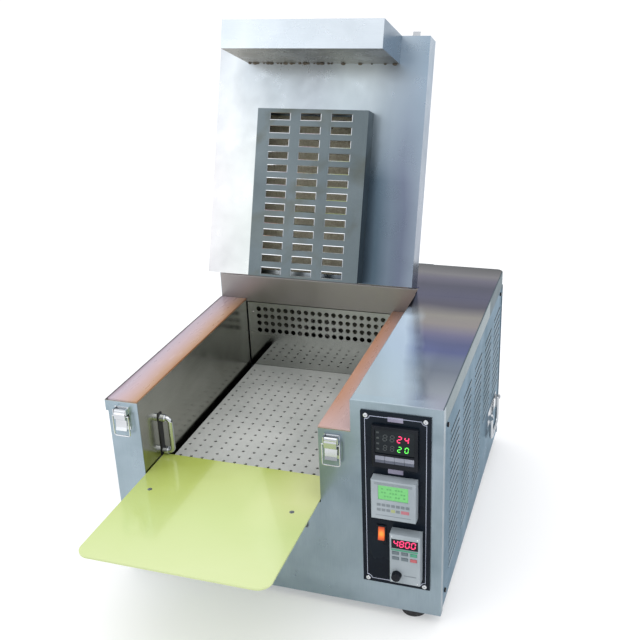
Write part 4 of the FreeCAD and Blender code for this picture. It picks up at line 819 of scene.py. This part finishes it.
def slot_rims():
    """The bright burr round each slot of the duct box: a ring raised outside and turned in at the slot."""
    def ring(bm, x, y, grow, z):
        outline = ((x[0] - grow, y[0] - grow), (x[1] + grow, y[0] - grow),
                   (x[1] + grow, y[1] + grow), (x[0] - grow, y[1] + grow))
        return [bm.verts.new(opened((px, py, z))) for px, py in outline]

    def build(bm):
        for column in range(SLOT_COLUMNS):
            for row in range(SLOT_ROWS):
                left = SLOT_FIRST[0] + SLOT_PITCH[0] * column
                near = SLOT_FIRST[1] + SLOT_PITCH[1] * row
                x, y = (left, left + SLOT_SIZE[0]), (near, near + SLOT_SIZE[1])
                rings = [ring(bm, x, y, SLOT_RIM, DUCT_FACE_Z + 0.1 * MM),
                         ring(bm, x, y, 0.0, DUCT_FACE_Z - 0.7 * MM),
                         ring(bm, x, y, 0.0, DUCT_FACE_Z + 0.3 * MM)]
                join_rings(bm, rings)

    piece("duct_slot_rims", build, FINISHES["chrome"], "lid")


def weld_beads():
    """Tack welds and scorched gaps where the front box meets the lid's inner sheet."""
    burnt = [-221 + 9.5 * k + 2.0 * math.sin(2.3 * k) for k in range(19)]
    spaced = [-28.0, 6.0, 29.0, 55.0, 74.0]

    def build(bm):
        for k, x in enumerate(burnt + spaced):
            size = (2.6 + 1.1 * math.sin(1.7 * k)) * MM
            spot = opened((x * MM, BOX_REAR_Y + 0.6 * MM, INNER_SHEET_Z - 0.6 * MM))
            shape = Matrix.Translation(spot) @ Matrix.Diagonal((1.4, 0.6, 0.8, 1.0))
            bmesh.ops.create_icosphere(bm, subdivisions=2, radius=size, matrix=shape)

    piece("weld_beads", build, WELD, "lid")


# ---- cabinet details ------------------------------------------------------------------------
def louvre_lips():
    """The rolled lower lip of every louvre, which catches the light."""
    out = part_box("right_side_panel")[1].x
    past = 1.0 * MM           # a lip runs a little past both ends of its louvre

    def build(bm):
        for column in range(LOUVRE_COLUMNS):
            start = LOUVRE_FIRST_Y + LOUVRE_PITCH_Y * column
            beside = abs(start + LOUVRE_LENGTH / 2 - GRIP_Y) < GRIP_CLEAR_Y
            for row in range(LOUVRE_ROWS):
                z = LOUVRE_TOP_Z - LOUVRE_PITCH_Z * row
                if beside and GRIP_CLEAR_Z[0] < z < GRIP_CLEAR_Z[1]:
                    continue
                lower = z - 4.0 * MM
                section = [(out - 0.2 * MM, lower + 0.2 * MM), (out + 0.8 * MM, lower - 0.3 * MM),
                           (out + 0.9 * MM, lower - 1.0 * MM), (out - 0.2 * MM, lower - 2.4 * MM)]
                near = [bm.verts.new((x, start - past, v)) for x, v in section]
                far = [bm.verts.new((x, start + LOUVRE_LENGTH + past, v)) for x, v in section]
                bm.faces.new(near)
                bm.faces.new(list(reversed(far)))
                for k in range(4):
                    after = (k + 1) % 4
                    bm.faces.new((near[after], near[k], far[k], far[after]))

    piece("louvre_lips", build, FINISHES["satin_steel"], "cabinet")


def baffle_screws():
    """The two small screws that hold the return-air grille."""
    low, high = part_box("rear_baffle")

    def build(bm):
        for x in (low.x + 11 * MM, high.x - 11 * MM):
            dome(bm, (x, low.y + 1.4 * MM, high.z - 22 * MM), 3.2 * MM)

    piece("baffle_screws", build, FINISHES["hinge_steel"], "cabinet")


def handle_collars():
    """The stepped sockets that hold the pull handle's arms against the wall strip."""
    low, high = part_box("chamber_handle")
    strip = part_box("handle_backing")[1].x
    bar = 4.6 * MM            # the handle bar's radius
    middle = (low.y + high.y) / 2
    profile = [(-0.3, 4.2), (-0.3, 6.3), (0.5, 7.0), (9.2, 7.0), (10.4, 5.8), (10.4, 4.2)]
    sides = 28

    def build(bm):
        for z in (low.z + bar, high.z - bar):
            rings = []
            for out, radius in profile:
                ring = []
                for k in range(sides):
                    angle = math.tau * k / sides
                    ring.append(bm.verts.new((strip + out * MM, middle + radius * MM * math.cos(angle),
                                              z + radius * MM * math.sin(angle))))
                rings.append(ring)
            join_rings(bm, rings)

    piece("handle_collars", build, FINISHES["chrome"], "cabinet")


panel_inlay()
label_plates()
controller_face()
relay_face()
inverter_face()
slot_rims()
weld_beads()
louvre_lips()
baffle_screws()
handle_collars()


# ---- stage, lights and camera ---------------------------------------------------------------
FLOOR_REACH = 40.0
LIGHTS = (                    # name, place, aim, size, watts
    ("overhead", (0.0, -0.3, 3.2), (0.0, 0.0, 0.3), (3.0, 3.0), 25.0),
    ("window", (-1.9, -2.6, 1.5), (-0.1, 0.1, 0.5), (1.6, 2.2), 10.0),
    ("fill", (2.6, -1.0, 1.8), (0.1, 0.0, 0.3), (2.0, 2.0), 5.0))
SKY_STRENGTH = 1.35
CAMERA_PLACE = (0.5114, -1.3938, 1.0572)
CAMERA_TURN_DEG = (19.10, 22.91, -2.29)       # yaw, pitch down, roll
CAMERA_LENS_MM = 52.34


def floor():
    """A plain pale floor, with a little light of its own to keep the contact shadow soft."""
    mesh = bpy.data.meshes.new("floor")
    bm = bmesh.new()
    bmesh.ops.create_grid(bm, x_segments=1, y_segments=1, size=FLOOR_REACH)
    bm.to_mesh(mesh)
    bm.free()
    graph = Graph("pale_floor", roughness=0.9, Specular_IOR_Level=0.1)
    graph.set("Base Color", (0.72, 0.72, 0.72, 1.0))
    graph.set("Emission Color", (*WHITE, 1.0))
    graph.set("Emission Strength", 0.26)
    mesh.materials.append(graph.material)
    made = placed("floor", mesh)


def softbox(name, place, aim, size, watts):
    """A rectangular lamp pointed at a place on the oven."""
    light = bpy.data.lights.new(name, "AREA")
    light.shape = "RECTANGLE"
    light.size, light.size_y = size
    light.energy = watts
    made = placed(name, light)
    made.location = place
    made.rotation_euler = (Vector(aim) - Vector(place)).to_track_quat("-Z", "Y").to_euler()


def sky():
    """A soft studio room, dull grey at the horizon and bright overhead."""
    world = bpy.data.worlds.new("studio")
    world.use_nodes = True
    tree = world.node_tree
    background = tree.nodes["Background"]
    place = tree.nodes.new("ShaderNodeTexCoord").outputs["Generated"]
    height = tree.nodes.new("ShaderNodeSeparateXYZ")
    tree.links.new(place, height.inputs[0])
    ramp = tree.nodes.new("ShaderNodeValToRGB")
    tree.links.new(height.outputs["Z"], ramp.inputs["Fac"])
    set_stops(ramp.color_ramp, [
        (0.0, (0.30, 0.32, 0.34)), (0.12, (0.38, 0.40, 0.42)), (0.4, (0.72, 0.73, 0.75)),
        (1.0, (0.98, 0.98, 1.0))])
    tree.links.new(ramp.outputs["Color"], background.inputs["Color"])
    background.inputs["Strength"].default_value = SKY_STRENGTH
    bpy.context.scene.world = world


def camera():
    """The viewing angle: a little right of the middle, looking down from about head height."""
    yaw, pitch, roll = (math.radians(turn) for turn in CAMERA_TURN_DEG)
    ahead = Vector((-math.sin(yaw) * math.cos(pitch), math.cos(yaw) * math.cos(pitch), -math.sin(pitch)))
    level = ahead.cross(Vector((0, 0, 1))).normalized()
    upright = level.cross(ahead)
    right = math.cos(roll) * level + math.sin(roll) * upright
    up = math.cos(roll) * upright - math.sin(roll) * level
    lens = bpy.data.cameras.new("camera")
    lens.lens = CAMERA_LENS_MM
    lens.sensor_width = 36.0
    made = placed("camera", lens)
    turned = Matrix((right, up, -ahead)).transposed().to_4x4()
    made.matrix_world = Matrix.Translation(CAMERA_PLACE) @ turned
    bpy.context.scene.camera = made


floor()
sky()
for name, place, aim, size, watts in LIGHTS:
    softbox(name, place, aim, size, watts)
camera()
bpy.context.scene.view_settings.view_transform = "Standard"
